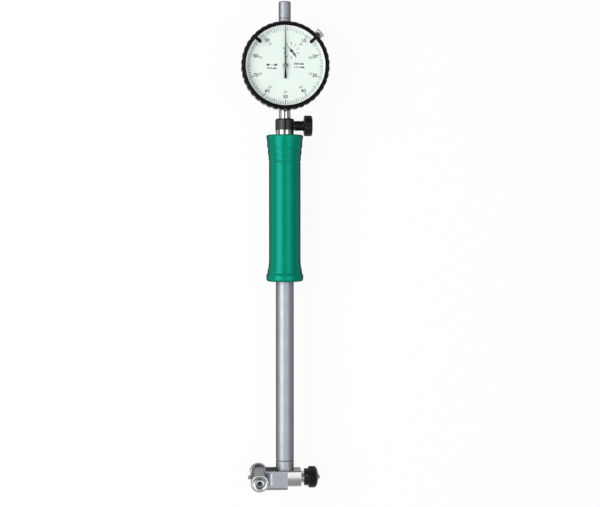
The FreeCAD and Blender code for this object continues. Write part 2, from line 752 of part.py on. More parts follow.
def handle_grip():
    """Moulded grip: plain waist, flared lower ring, three ribs that swell to the upper ring."""
    bore = stem_radius + press_gap
    ring = grip_ring_radius
    waist = grip_radius
    top = grip_length
    save("handle_grip", turned(
        [(bore, 0), (ring - 1.6, 0), ((ring - 0.47, 0.47), (ring, 1.6)), (ring, 4.0),
         ((ring - 0.15, 4.9), (ring - 0.75, 5.6)), (ring - 0.95, 5.9), (ring - 0.75, 6.2),
         ((waist + 0.35, 10.2), (waist, 14.5)), (waist, top - 19.0), (waist - 0.3, top - 18.5),
         ((waist + 0.45, top - 16.3), (waist + 0.2, top - 14.4)),
         ((waist + 0.95, top - 12.0), (waist + 0.65, top - 9.6)),
         ((waist + 1.5, top - 7.0), (waist + 1.2, top - 4.9)), ((ring - 0.3, top - 4.4), (ring, top - 3.5)),
         (ring, top - 1.0), ((ring - 0.3, top - 0.3), (ring - 1.0, top)), (bore, top)], Y * grip_bottom, Y))


def clamp_collar():
    """Slit collar on top of the stem that grips the indicator."""
    bore = clamp_bore
    spigot = stem_bore - press_gap
    top = clamp_length
    collar = turned(
        [(bore, -clamp_spigot_length), (spigot - 0.4, -clamp_spigot_length), (spigot, 0.4 - clamp_spigot_length),
         (spigot, 0), (clamp_neck_radius, 0), (clamp_neck_radius, 2.2), (clamp_neck_radius + 0.15, 2.3),
         (clamp_neck_radius + 0.15, 3.2), (clamp_radius - 0.2, 3.3), (clamp_radius, 3.5), (clamp_radius, top - 1.3),
         (clamp_radius - 0.9, top), (bore, top)], Y * grip_top, Y)
    slit = box((-clamp_slit / 2, clamp_slit / 2), (grip_top + 3.3, clamp_top + 1), (0, clamp_radius + 1))
    thread = bar(stud_radius + press_gap, Y * knob_y, X, clamp_radius + 1)
    save("clamp_collar", collar.cut([slit, thread]))


def clamp_screw():
    """Thumb knob moulded on its steel stud, and the brass pad that the stud presses on the indicator's stem."""
    pad = indicator_stem_radius + 0.05
    tip = pad + pad_thickness + face_gap
    knob_start = clamp_radius + 0.2
    head_start = grip_ring_radius + knob_clear
    head_end = head_start + knob_head_length
    stud_end = knob_start + stud_in_knob
    at = Y * knob_y
    save("clamp_pad", bar(stud_radius - 0.05, at + X * pad, X, pad_thickness))
    save("clamp_stud", turned(
        [(0, tip), (stud_radius - 0.4, tip), (stud_radius, tip + 0.4), (stud_radius, stud_end), (0, stud_end)], at, X))
    seat = stud_radius + press_gap
    s = knob_shank_radius
    r = knob_head_radius
    knob = turned(
        [(seat, knob_start), (s - 0.3, knob_start), (s, knob_start + 0.3), (s, head_start - 0.8),
         (s + 0.8, head_start), (r - 0.6, head_start), (r, head_start + 0.6), (r, head_end - 0.8),
         (r - 0.8, head_end), (0, head_end), (0, stud_end),
         (seat, stud_end)], at, X)
    cutters = flutes(knob_flutes, r + knob_flute_radius * 0.45, knob_flute_radius, at + X * head_start, X,
                     knob_head_length)
    save("clamp_knob", knob.cut(cutters))


# ---------------------------------------------------------------- indicator case
def indicator_case():
    """Drum of the indicator with bosses for its stem and guard and a ledge for the movement."""
    r = case_radius
    drum = turned(
        [(case_rear_bore, case_back), (r - 0.6, case_back), (r, case_back + 0.6), (r, case_front - 0.3),
         (r - 0.3, case_front), (case_bore, case_front), (case_bore, plate_back_z), (case_rear_bore, plate_back_z)],
        dial_centre, Z)
    boss_length = r + stem_boss_top - case_rear_bore - 1
    lower = bar(stem_boss_radius, dial_centre - Y * (r + stem_boss_top), Y, boss_length)
    upper = bar(stem_boss_radius, dial_centre + Y * (r + stem_boss_top), -Y, boss_length)
    drum = joined(drum, lower, upper)
    reach = r + stem_boss_top + 1
    cuts = [
        bar(indicator_stem_radius + press_gap, dial_centre - Y * reach, Y, reach),
        bar(cap_radius + press_gap, dial_centre, Y, reach),
        wire_ring(wire_half + 0.08),
        bar(bezel_screw_radius + running_gap,
            dial_centre + Z * bezel_screw_z + screw_direction * (case_rear_bore + 1), screw_direction,
            case_rear_wall)]
    for index in range(cover_screws):
        start = polar(cover_screw_circle, 45 + index * 360 / cover_screws, case_back)
        cuts.append(bar(cover_screw_radius + press_gap, start, Z, cover_screw_length))
    for index in range(3):
        start = polar(case_ledge_circle, 90 + index * 120, plate_back_z - 2.0)
        cuts.append(bar(0.6 + press_gap, start, Z, 3))
    save("indicator_case", drum.cut(cuts).removeSplitter())


def back_cover():
    """Plain flat back with a locating lip."""
    lip = case_rear_bore - face_gap
    cover = turned(
        [(0, cover_back), (cover_radius - 0.9, cover_back), (cover_radius, cover_back + 0.9),
         (cover_radius, case_back), (lip, case_back), (lip, case_back + cover_lip), (lip - 1.2, case_back + cover_lip),
         (lip - 1.2, case_back), (0, case_back)], dial_centre, Z)
    screws = []
    cuts = []
    head_depth = 0.9
    for index in range(cover_screws):
        start = polar(cover_screw_circle, 45 + index * 360 / cover_screws, cover_back)
        profile = [
            (0, 0.1), (cover_screw_head, 0.1), (cover_screw_radius, head_depth),
            (cover_screw_radius, cover_thickness + cover_screw_length - 0.3),
            (0, cover_thickness + cover_screw_length - 0.3)]
        screw = turned(profile, start, Z)
        slot = box((start.x - 2, start.x + 2), (start.y - 0.2, start.y + 0.2), (start.z - 1, start.z + 0.45))
        screws.append(screw.cut(slot))
        seat = cover_screw_head + 2 * press_gap
        hole = cover_screw_radius + press_gap
        cuts.append(turned(
            [(0, -1), (seat, -1), (seat, 0.1), (hole, head_depth), (hole, cover_thickness + 1),
             (0, cover_thickness + 1)], start, Z))
    save("back_cover", cover.cut(cuts))
    save("back_cover_screws", *screws)


def lower_stem():
    """Standard mounting stem that guides the spindle."""
    bottom = dial_y - bezel_radius - indicator_stem_length
    top = dial_y - case_rear_bore - 1.5
    bore = spindle_radius + running_gap
    r = indicator_stem_radius
    save("lower_stem", turned(
        [(bore, bottom), (r - 0.4, bottom), (r, bottom + 0.4), (r, top), (bore, top)], ORIGIN, Y))


def spindle_cap():
    """Guard over the spindle's upper end."""
    bottom = dial_y + case_rear_bore + 1.5
    top = dial_y + cap_top
    guide_top = bottom + 5.0
    line = dial_y + case_radius + 5.4
    r = cap_radius
    bore = spindle_radius + running_gap
    save("spindle_cap", turned(
        [(bore, bottom), (r, bottom), (r, line), (r - 0.2, line + 0.15), (r - 0.2, line + 0.35), (r, line + 0.5),
         (r, top - 0.8), ((r - 0.23, top - 0.23), (r - 0.8, top)), (0, top), (0, top - cap_wall),
         (cap_bore, top - cap_wall), (cap_bore, guide_top), (bore, guide_top)], ORIGIN, Y))


# ---------------------------------------------------------------- spindle and its return spring
def rack_cutter():
    """What is cut away from the spindle's side to leave the rack."""
    lean = math.tan(math.radians(pressure_angle))
    tip = -rack_line - 0.85 * module
    root = -rack_line + 1.25 * module
    half_width = tooth_share * rack_pitch / 2
    half_tip = half_width - 0.85 * module * lean
    half_root = half_width + 1.25 * module * lean
    points = []
    for index in range(-rack_teeth_below, rack_teeth_above + 1):
        middle = rack_arbor_y + dial_y + (index + 0.5) * rack_pitch
        points += [(root, middle - half_root), (tip, middle - half_tip), (tip, middle + half_tip),
                   (root, middle + half_root)]
    outside = -spindle_radius - 1
    points = [(outside, points[0][1])] + points + [(outside, points[-1][1])]
    return plate(points, -spindle_radius - 1, 2 * spindle_radius + 2)


def spindle():
    r = spindle_radius
    top = dial_y + case_rear_bore + spindle_top
    seat = spindle_stud_radius + press_gap
    body = turned(
        [(seat, spindle_bottom), (r - 0.3, spindle_bottom), (r, spindle_bottom + 0.3), (r, top - 0.5), (r - 0.5, top),
         (0, top), (0, spindle_bottom + spindle_stud_length + 0.3), (seat, spindle_bottom + spindle_stud_length + 0.3)],
        ORIGIN, Y)
    pin_hole = bar(guide_pin_radius + press_gap, Vector(0.4, dial_y + guide_pin_y, 0), X, 3)
    save("spindle", body.cut([rack_cutter(), pin_hole]))


def spindle_contact():
    """Contact point screwed into the spindle; it rests on the push rod."""
    bottom = rod_top + 0.1
    ball = 1.2
    middle, rise = cap_middle(ball, ball)
    r = spindle_radius
    save("spindle_contact", turned(
        [(0, bottom), ((middle, bottom + ball - rise), (ball, bottom + ball)), (ball, bottom + 2.2),
         (r, bottom + 3.4), (r, spindle_bottom - 0.05), (spindle_stud_radius, spindle_bottom - 0.05),
         (spindle_stud_radius, spindle_bottom + spindle_stud_length), (0, spindle_bottom + spindle_stud_length)],
        ORIGIN, Y))


def spindle_guide_pin():
    """Cross pin that runs in the rail, so the spindle can't turn, and takes the return spring."""
    start = Vector(0.5, dial_y + guide_pin_y, 0)
    save("spindle_guide_pin", bar(guide_pin_radius, start, X, return_spring_x + guide_pin_end - start.x))


def return_spring():
    start = Vector(return_spring_x, dial_y + return_post_top + 0.02, 0)
    length = return_spring_top - return_post_top - 0.02
    save("return_spring", coil_spring(return_spring_radius, return_spring_wire, return_spring_turns, start, Y, length))


# ---------------------------------------------------------------- movement
def movement_plates():
    back_radius = case_bore - face_gap
    back = bar(back_radius, dial_centre + Z * plate_back_z, Z, plate_thickness)
    rail_y = dial_y + guide_pin_y
    rail = box((rail_left, rail_right), (rail_y - rail_half_length, rail_y + rail_half_length),
               (-spindle_radius, plate_back_z + 0.1))
    post_y = dial_y + return_post_top - return_post_radius
    post = bar(return_post_radius, Vector(return_spring_x, post_y, -1.2), Z, plate_back_z + 1.3)
    slot_half = guide_pin_radius + running_gap
    slot = box((rail_left - 1, rail_right + 1),
               (rail_y - rail_half_length + 1.0, rail_y + rail_half_length - 1.0), (-slot_half, slot_half))
    notch = stem_boss_radius + 0.3
    reach = back_radius + 1
    flats = [box((-notch, notch), span, (plate_back_z - 1, plate_back_z + 2))
             for span in ((dial_y - reach, dial_y - plate_flat), (dial_y + plate_flat, dial_y + reach))]
    back = joined(back.cut(flats), rail, post)
    front = bar(front_plate_radius, dial_centre + Z * plate_front_z, Z, plate_thickness)
    stud_y = dial_y + hair_arbor_y + hairspring_outer
    stud = bar(0.5, Vector(hair_arbor_x, stud_y, plate_front_z + 0.1), -Z, 1.4)
    front = joined(front, stud)
    back_cuts = [slot]
    front_cuts = []
    for x, y, back_hole, front_hole in (
            (rack_arbor_x, rack_arbor_y, arbor_radius, pivot_radius),
            (0, 0, pivot_radius, slim_arbor_radius),
            (hair_arbor_x, hair_arbor_y, pivot_radius, slim_arbor_radius)):
        low = dial_centre + Vector(x, y, plate_back_z)
        high = dial_centre + Vector(x, y, plate_front_z)
        back_cuts.append(bar(back_hole + running_gap, low, Z, plate_thickness))
        front_cuts.append(bar(front_hole + running_gap, high, Z, plate_thickness))
    for place in pillar_places():
        hole = pillar_stub_radius + press_gap
        back_cuts.append(bar(hole, place + Z * plate_back_z, Z, plate_thickness))
        front_cuts.append(bar(hole, place + Z * plate_front_z, Z, plate_thickness))
    for index in range(3):
        start = polar(case_ledge_circle, 90 + index * 120, plate_back_z)
        back_cuts.append(bar(0.6 + press_gap, start, Z, plate_thickness))
    save("movement_plate_back", back.cut(back_cuts).removeSplitter())
    save("movement_plate_front", front.cut(front_cuts).removeSplitter())


def pillar_places():
    spots = ((15.3, -2.0), (-15.3, 2.0), (10.5, -12.6), (-10.5, 12.6))
    return [dial_centre + Vector(x, y, 0) for x, y in spots]


def plate_pillars():
    """Shouldered pillars that space and hold the two plates."""
    low = plate_back_z + plate_thickness
    pillars = []
    for place in pillar_places():
        stub = pillar_stub_radius
        top = plate_front_z + plate_thickness
        pillars.append(turned(
            [(0, plate_back_z), (stub, plate_back_z), (stub, low), (pillar_radius, low),
             (pillar_radius, plate_front_z), (stub, plate_front_z), (stub, top), (pillar_radius, top),
             (pillar_radius, top + 0.5), (0, top + 0.5)], place, Z))
    save("plate_pillars", *pillars)


def movement_screws():
    screws = []
    top = plate_back_z + plate_thickness
    for index in range(3):
        place = polar(case_ledge_circle, 90 + index * 120)
        screws.append(turned(
            [(0, plate_back_z - 1.8), (0.6, plate_back_z - 1.8), (0.6, top), (1.0, top), (1.0, top + 0.6),
             (0, top + 0.6)], place, Z))
    save("movement_screws", *screws)


def rack_arbor():
    """Rack pinion with its arbor, and the large gear staked on it."""
    at = dial_centre + Vector(rack_arbor_x, rack_arbor_y, 0)
    half = 1.2
    pinion = gear(pinion_teeth, pinion_share, 0.0, rack_arbor_x, rack_arbor_y, -half, 2 * half)
    arbor = turned(
        [(0, -half - 0.5), (arbor_radius, -half - 0.5), (arbor_radius, plate_front_z - 0.1),
         (pivot_radius, plate_front_z - 0.1), (pivot_radius, plate_front_z + plate_thickness),
         (0, plate_front_z + plate_thickness)], at, Z)
    save("rack_pinion", joined(pinion, arbor))
    to_centre = math.atan2(-rack_arbor_y, -rack_arbor_x)
    phase = to_centre + math.pi / wheel_teeth
    disc = gear(wheel_teeth, tooth_share, phase, rack_arbor_x, rack_arbor_y, gear_bottom, gear_thickness)
    hub = bar(1.6, at + Z * gear_bottom, Z, gear_thickness + 0.8)
    bore = bar(arbor_radius + press_gap, at + Z * gear_bottom, Z, gear_thickness + 1)
    save("rack_gear", joined(disc, hub).cut(bore))


def centre_pinion():
    """Ten-leaf pinion that carries the main hand."""
    from_gear = math.atan2(-rack_arbor_y, -rack_arbor_x)
    phase = from_gear + math.pi
    low = gear_bottom - 0.2
    leaves = gear(centre_teeth, pinion_share, phase, 0, 0, low, gear_thickness + 0.4)
    arbor = turned(
        [(0, plate_back_z + 0.1), (pivot_radius, plate_back_z + 0.1),
         (pivot_radius, plate_back_z + plate_thickness + 0.1), (slim_arbor_radius, plate_back_z + plate_thickness + 0.1), (slim_arbor_radius, main_hand_z + 0.45),
         (0, main_hand_z + 0.45)],
        dial_centre, Z)
    save("centre_pinion", joined(leaves, arbor))


def hairspring_gear():
    """Backlash gear with its arbor; the arbor carries the small hand."""
    from_gear = math.atan2(-rack_arbor_y, -rack_arbor_x)
    to_hair = math.atan2(hair_arbor_y, hair_arbor_x)
    leaf = 2 * math.pi / centre_teeth
    lag = (to_hair - from_gear - math.pi) % leaf
    phase = to_hair + math.pi + math.pi / wheel_teeth + lag * centre_teeth / wheel_teeth
    disc = gear(wheel_teeth, tooth_share, phase, hair_arbor_x, hair_arbor_y, gear_bottom, gear_thickness)
    at = dial_centre + Vector(hair_arbor_x, hair_arbor_y, 0)
    low = plate_back_z + plate_thickness + 0.1
    arbor = turned(
        [(0, plate_back_z + 0.1), (pivot_radius, plate_back_z + 0.1), (pivot_radius, low), (slim_arbor_radius, low),
         (slim_arbor_radius, small_hand_z + 0.3), (0, small_hand_z + 0.3)], at, Z)
    hub = bar(1.1, at + Z * gear_bottom, Z, gear_thickness + 1.7)
    save("hairspring_gear", joined(disc, hub, arbor))


def hairspring():
    """Flat spiral spring, one strip from the gear's hub out to the stud."""
    steps = 16 * hairspring_turns
    inner = []
    outer = []
    start = hairspring_inner + hairspring_strip
    for index in range(steps + 1):
        share = index / steps
        turn = math.pi / 2 - 2 * math.pi * hairspring_turns * (1 - share)
        radius = start + (hairspring_outer - 0.65 - start) * share
        direction = (math.cos(turn), math.sin(turn))
        for line, offset in ((inner, -hairspring_strip / 2), (outer, hairspring_strip / 2)):
            line.append((hair_arbor_x + (radius + offset) * direction[0],
                         dial_y + hair_arbor_y + (radius + offset) * direction[1]))
    save("hairspring", plate(outer + inner[::-1], gear_bottom + gear_thickness + 1.0, hairspring_height))


# ---------------------------------------------------------------- dial and hands
def scale_ring():
    """Outer scale, turned with the bezel."""
    inner = centre_dial_radius + dial_split
    save("scale_ring", turned(
        [(inner, dial_bottom), (insert_radius, dial_bottom), (insert_radius, dial_top), (inner, dial_top)],
        dial_centre, Z))


def spacer_ring():
    """White coned ring between the scale and the crystal."""
    save("spacer_ring", turned(
        [(spacer_foot_radius, dial_top), (insert_radius, dial_top), (insert_radius, crystal_bottom),
         (window_radius, crystal_bottom), (spacer_foot_radius, dial_top + 0.3)], dial_centre, Z))


def centre_dial():
    """Fixed middle of the dial on two feet."""
    disc = bar(centre_dial_radius, dial_centre + Z * dial_bottom, Z, dial_thickness)
    foot_bottom = plate_front_z + plate_thickness
    feet = [bar(0.8, dial_centre + Vector(x, y, foot_bottom), Z, dial_bottom - foot_bottom + 0.1)
            for x, y in ((13.0, 6.5), (-13.0, -6.5))]
    holes = [
        bar(slim_arbor_radius + 0.5, dial_centre + Z * dial_bottom, Z, dial_thickness),
        bar(slim_arbor_radius + 0.3, dial_centre + Vector(hair_arbor_x, hair_arbor_y, dial_bottom), Z,
            dial_thickness)]
    save("centre_dial", joined(disc, *feet).cut(holes))


def main_hand():
    """Long hand with a flared tail, and the bright hub on it."""
    bottom = main_hand_z
    thickness = 0.3
    tip = spacer_foot_radius
    blade = plate([(x, dial_y + y) for x, y in (
        (-0.13, tip), (-0.36, 1.5), (-0.36, -1.5), (-0.7, -8.6), (0.7, -8.6), (0.36, -1.5), (0.36, 1.5),
        (0.13, tip))], bottom, thickness)
    boss = bar(1.3, dial_centre + Z * bottom, Z, thickness)
    bore = slim_arbor_radius + press_gap
    hand = joined(blade, boss).cut(bar(bore, dial_centre + Z * bottom, Z, thickness))
    save("main_hand", hand)
    hub_bottom = bottom + thickness
    save("hand_hub", turned(
        [(bore, hub_bottom), (1.6, hub_bottom), (1.6, hub_bottom + 0.45), ((1.3, hub_bottom + 0.68),
         (0.7, hub_bottom + 0.78)), (0, hub_bottom + 0.78), (0, bottom + 0.5), (bore, bottom + 0.5)], dial_centre, Z))


def small_hand():
    """Revolution counter hand: thin point, diamond hub, broad tail."""
    bottom = small_hand_z
    x = hair_arbor_x
    y = dial_y + hair_arbor_y
    outline = [(-0.08, 4.1), (-0.16, 1.1), (-0.75, 0.0), (-0.36, -1.0), (-0.42, -4.4), (0.42, -4.4), (0.36, -1.0),
               (0.75, 0.0), (0.16, 1.1), (0.08, 4.1)]
    hand = plate([(x + px, y + py) for px, py in outline], bottom, 0.22)
    centre = Vector(x, y, 0)
    hand = hand.cut(bar(slim_arbor_radius + press_gap, centre + Z * bottom, Z, 1))
    hand.rotate(centre, Z, 40)
    save("small_hand", hand)


# ---------------------------------------------------------------- bezel
def bezel():
    """Scalloped rim that holds the crystal and turns on the case."""
    r = bezel_radius
    rim = turned(
        [(bezel_bore, bezel_back), (r - 0.5, bezel_back), (r, bezel_back + 0.5), (r, bezel_front - 2.6),
         (r - 0.45, bezel_front - 1.1), (r - 1.5, bezel_front), (bezel_step_radius + 0.1, bezel_front),
         (bezel_step_radius, bezel_front - 0.1), (bezel_step_radius, bezel_lip_top), (window_radius, bezel_lip_top),
         (window_radius, crystal_bottom + crystal_thickness), (bezel_bore, crystal_bottom + crystal_thickness)],
        dial_centre, Z)
    circle = r + bezel_scallop_radius - bezel_scallop_depth
    cutters = flutes(bezel_scallops, circle, bezel_scallop_radius, dial_centre + Z * (bezel_back - 1), Z,
                     bezel_front - 1.6 - bezel_back + 1)
    save("bezel", rim.cut(cutters + [wire_ring(wire_half + 0.02)]))


def wire_ring(half, sweep=360):
    """The retaining wire's ring, or the groove for it."""
    middle = (case_radius + bezel_bore) / 2
    section = [(middle - half, wire_height - half), (middle + half, wire_height - half),
               (middle + half, wire_height + half), (middle - half, wire_height + half)]
    face = closed_face(section, lambda p: dial_centre + X * p[0] + Z * p[1])
    return face.revolve(dial_centre, Z, sweep)


def bezel_ring():
    """Split spring wire in the grooves of case and bezel."""
    ring = wire_ring(wire_half, 340)
    ring.rotate(dial_centre, Z, 100)
    save("bezel_ring", ring)


def crystal():
    save("crystal", bar(insert_radius, dial_centre + Z * crystal_bottom, Z, crystal_thickness))


def limit_markers():
    """Black limit markers that slide round the step of the bezel."""
    bottom = bezel_lip_top + face_gap
    inner = window_radius + 0.05
    outer = bezel_step_radius - face_gap
    half = math.degrees(marker_foot_half_width / outer)
    foot = turned([(inner, bottom), (outer, bottom), (outer, bottom + marker_height), (inner, bottom + marker_height)],
                  dial_centre, Z)
    wedge = plate([(0, dial_y), (-40 * math.tan(math.radians(half)), dial_y + 40),
                   (40 * math.tan(math.radians(half)), dial_y + 40)], bottom - 1, 4)
    w = marker_half_width
    blade = plate([(-w, dial_y + inner + 0.4), (-w, dial_y + marker_tip_radius + w),
                   ((0, dial_y + marker_tip_radius), (w, dial_y + marker_tip_radius + w)),
                   (w, dial_y + inner + 0.4)], bottom, marker_height)
    marker = joined(foot.common(wedge), blade)
    for name, angle in (("limit_marker_left", marker_angle), ("limit_marker_right", -marker_angle)):
        turned_marker = marker.copy()
        turned_marker.rotate(dial_centre, Z, angle)
        save(name, turned_marker)


def bezel_clamp():
    """Thumb screw and shoe that lock the bezel."""
    at = dial_centre + Z * bezel_screw_z
    r = bezel_screw_radius
    k = bezel_screw_knob_radius
    tip = case_rear_bore + 1.6
    start = bezel_radius + bezel_screw_neck
    end = start + bezel_screw_knob_length
    save("bezel_clamp_screw", turned(
        [(0, tip), (r, tip), (r, start), (k - 1.0, start), (k - 0.75, start + 0.4), (k, end - 1.0), (k, end - 0.3),
         (k - 0.3, end), (0, end)], at, screw_direction))
    across = shoe_half_width
    low = case_radius + 0.1
    shoe = box((-across, across), (low - 1.5, start - face_gap), (shoe_bottom, bezel_back - face_gap))
    shoe.translate(dial_centre)
    shoe.rotate(dial_centre, Z, -screw_angle)
    drum = bar(low, dial_centre + Z * (shoe_bottom - 1), Z, bezel_back - shoe_bottom + 2)
    hole = bar(r + running_gap, at, screw_direction, bezel_radius + 5)
    save("bezel_clamp_shoe", shoe.cut([drum, hole]))


head_body()
chamber_plug()
pivot_pin()
bell_crank()
contact_sleeve()
contact_plunger()
contact_tip()
push_rod()
rod_guides()
rod_spring()
anvil()
anvil_tip()
anvil_nut()
nut_washer()
bridge_body()
bridge_stop_pin()
wheels()
wheel_screws()
bridge_springs()
stem_tube()
handle_grip()
clamp_collar()
clamp_screw()
indicator_case()
back_cover()
lower_stem()
spindle_cap()
spindle()
spindle_contact()
spindle_guide_pin()
return_spring()
movement_plates()
plate_pillars()
movement_screws()
rack_arbor()
centre_pinion()
hairspring_gear()
hairspring()
scale_ring()
spacer_ring()
centre_dial()
main_hand()
small_hand()
bezel()
bezel_ring()
crystal()
limit_markers()
bezel_clamp()
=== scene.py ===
"""Dial bore gauge: spring bridge head, round stem, moulded grip and a dial indicator, on a pale table.

The frame is loaded first. Every visible piece is then built in the gauge's own millimetres, measured from the
point where the measuring line crosses the stem's axis, and set into the frame by one matrix.
"""

import json
import math

import bmesh
import bpy
from bpy.props import FloatProperty, FloatVectorProperty, IntProperty, PointerProperty
from bpy.types import Operator, Panel, PropertyGroup
from mathutils import Matrix, Vector


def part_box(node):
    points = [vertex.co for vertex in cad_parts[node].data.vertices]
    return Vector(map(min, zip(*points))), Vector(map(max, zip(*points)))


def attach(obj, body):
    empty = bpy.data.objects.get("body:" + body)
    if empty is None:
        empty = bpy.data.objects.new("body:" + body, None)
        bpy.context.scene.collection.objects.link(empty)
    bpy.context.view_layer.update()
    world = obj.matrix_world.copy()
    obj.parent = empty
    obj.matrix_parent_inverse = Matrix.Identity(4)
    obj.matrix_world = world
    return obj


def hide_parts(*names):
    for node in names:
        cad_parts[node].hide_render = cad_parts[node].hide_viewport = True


bl_info = {
    "name": "Dial Bore Gauge",
    "version": (1, 0, 0),
    "blender": (4, 5, 0),
    "location": "3D View > Sidebar > Bore Gauge",
    "description": "Builds a dial bore gauge with its finishes and a plain studio",
    "category": "Add Mesh",
}

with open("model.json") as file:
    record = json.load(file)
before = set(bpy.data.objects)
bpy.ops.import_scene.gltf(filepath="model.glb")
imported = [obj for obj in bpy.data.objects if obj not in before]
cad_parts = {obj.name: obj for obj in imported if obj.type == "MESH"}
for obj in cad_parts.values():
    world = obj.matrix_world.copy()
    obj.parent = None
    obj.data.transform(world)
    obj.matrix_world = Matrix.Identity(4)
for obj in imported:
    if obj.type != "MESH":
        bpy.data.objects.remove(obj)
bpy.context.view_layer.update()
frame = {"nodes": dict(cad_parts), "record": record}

MM = 0.001
WHOLE_TURN = 2 * math.pi
QUARTER_TURN = math.pi / 2
FINISHES = {}
CREASE = math.radians(32)
TURN_TO_AXIS = {
    "x": Matrix.Rotation(QUARTER_TURN, 4, "Y"),
    "y": Matrix.Rotation(-QUARTER_TURN, 4, "X"),
    "z": Matrix.Identity(4),
}


def middle(node):
    low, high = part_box(node)
    return (low + high) / 2


PLACE = Matrix.Translation((middle("stem_tube").x, middle("anvil_tip").y, middle("stem_tube").z))
PLACE = PLACE @ Matrix.Scale(MM, 4)


def extent(node):
    """A node's lowest and highest corners in the gauge's own millimetres."""
    low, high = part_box(node)
    to_gauge = PLACE.inverted()
    return to_gauge @ low, to_gauge @ high


BLOCK_LOW, BLOCK_HIGH = extent("head_body")
STEM_LOW, STEM_HIGH = extent("stem_tube")
GRIP_LOW, GRIP_HIGH = extent("handle_grip")
COLLAR_LOW, COLLAR_HIGH = extent("clamp_collar")
KNOB_LOW, KNOB_HIGH = extent("clamp_knob")
NUT_LOW, NUT_HIGH = extent("anvil_nut")
BRIDGE_LOW, BRIDGE_HIGH = extent("bridge_body")
WHEEL_LOW, WHEEL_HIGH = extent("wheel_upper")
BEZEL_LOW, BEZEL_HIGH = extent("bezel")
HOUSING_LOW, HOUSING_HIGH = extent("indicator_case")
COVER_LOW, COVER_HIGH = extent("back_cover")
GUARD_LOW, GUARD_HIGH = extent("spindle_cap")
CRYSTAL_LOW, CRYSTAL_HIGH = extent("crystal")
SCALE_LOW, SCALE_HIGH = extent("scale_ring")
HAND_LOW, HAND_HIGH = extent("main_hand")
COUNTER_LOW, COUNTER_HIGH = extent("small_hand")

PRESS = 0.01            # clearance of a pressed fit
RUN = 0.04              # clearance of a running fit
STEM_RADIUS = STEM_HIGH.x
STEM_BORE = 5.0
STEM_CHAMFER = 0.35
COLLAR_FOOT = 5.6       # top of the head's block, where its round collar starts
BLOCK_LEFT = -5.0
BLOCK_RIGHT = 11.1
NECK_RADIUS = 4.0
SLEEVE_RADIUS = 2.4
SHANK_RADIUS = 2.0      # anvil's shank in the head
NUT_START = NUT_LOW.x
FLANGE_TOP = 20.45      # anvil's flange, which the nut's shoulder holds
BAR_X = (WHEEL_LOW.x + WHEEL_HIGH.x) / 2
BAR_RADIUS = 4.5
BAR_HALF = 16.2
THREAD_RADIUS = 1.4     # socket screws that carry the wheels
STUD_BORE = 1.51
DIAL = Vector((0, (BEZEL_LOW.y + BEZEL_HIGH.y) / 2, 0))
BEZEL_RADIUS = (BEZEL_HIGH.y - BEZEL_LOW.y) / 2
DIAL_FACE = SCALE_HIGH.z
CRYSTAL_RADIUS = BEZEL_RADIUS - 2.5
COUNTER = DIAL + Vector((4.0, 10.18, 0))
WINDOW_RADIUS = 27.0
INDICATOR_STEM_RADIUS = 4.0
SCREW_TURN = math.radians(46)
MARKER_TURN = math.radians(47.7)


# Settings
def distance(name, description, value, least, most, precision=5):
    return FloatProperty(name=name, description=description, default=value, min=least, max=most, unit="LENGTH",
                         subtype="DISTANCE", precision=precision)


def number(name, description, value, least, most):
    return IntProperty(name=name, description=description, default=value, min=least, max=most)


def colour(name, description, value):
    return FloatVectorProperty(name=name, description=description, default=value, subtype="COLOR", size=3, min=0, max=1)


class GaugeSizes(PropertyGroup):
    """Sizes that a user may change without leaving the frame's box."""

    segments: number("Turned Segments", "Segments round a turned piece", 96, 24, 256)
    edge_round: distance("Edge Rounding", "Radius on the edges of machined pieces", 0.00012, 0.00002, 0.0003)
    grip_waist: distance("Grip Waist", "Radius of the grip's plain middle", 0.0109, 0.009, 0.0125, 4)
    scallops: number("Bezel Scallops", "Finger hollows round the bezel", 40, 12, 80)
    scallop_depth: distance("Scallop Depth", "Depth of each finger hollow", 0.00055, 0.0001, 0.0009)
    nut_grooves: number("Nut Grooves", "Grip grooves round the lock nut", 30, 12, 60)
    knob_flutes: number("Knob Flutes", "Grip flutes round the clamp knob", 10, 6, 24)
    numeral_height: distance("Numeral Height", "Height of the black numbers on the scale", 0.0024, 0.001, 0.004, 4)
    print_height: distance(
        "Print Thickness", "How far the dial's print stands off its face", 0.00002, 0.000005, 0.0001, 6)


class GaugeFinishes(PropertyGroup):
    """Base colours of the finishes, as linear values."""

    satin_chrome: colour("Satin Chrome", "Stem and spring bridge", (0.43, 0.45, 0.49))
    bright_chrome: colour("Bright Chrome", "Head block, wheels and screws", (0.58, 0.59, 0.60))
    dark_chrome: colour("Dark Chrome", "Clamp collar", (0.06, 0.06, 0.062))
    steel: colour("Steel", "Turned steel pieces", (0.42, 0.43, 0.46))
    black_metal: colour("Black Metal", "Bezel, lock nut, hands and markers", (0.005, 0.006, 0.006))
    grip_green: colour("Grip Green", "Moulded grip", (0.0, 0.236, 0.143))
    knob_black: colour("Knob Black", "Moulded clamp knob", (0.007, 0.007, 0.008))
    dial_white: colour("Dial White", "Printed dial face", (0.80, 0.90, 0.84))
    print_black: colour("Print Black", "Graduations and numbers", (0.03, 0.036, 0.034))
    print_red: colour("Print Red", "Smaller reverse numbers", (0.25, 0.22, 0.23))
    brass: colour("Brass", "Plates and gears of the movement", (0.60, 0.44, 0.18))


def mm(length):
    """A setting in metres as the gauge's millimetres."""
    return length / MM


# Shaping
def bevelled(shape, geometry, offset, segments, affect="EDGES", clamp=False):
    """Bevels corners or edges in place, round where there is more than one segment."""
    bmesh.ops.bevel(shape, geom=geometry, offset=offset, offset_type="OFFSET", segments=segments, profile=0.5,
                    affect=affect, material=-1, clamp_overlap=clamp)


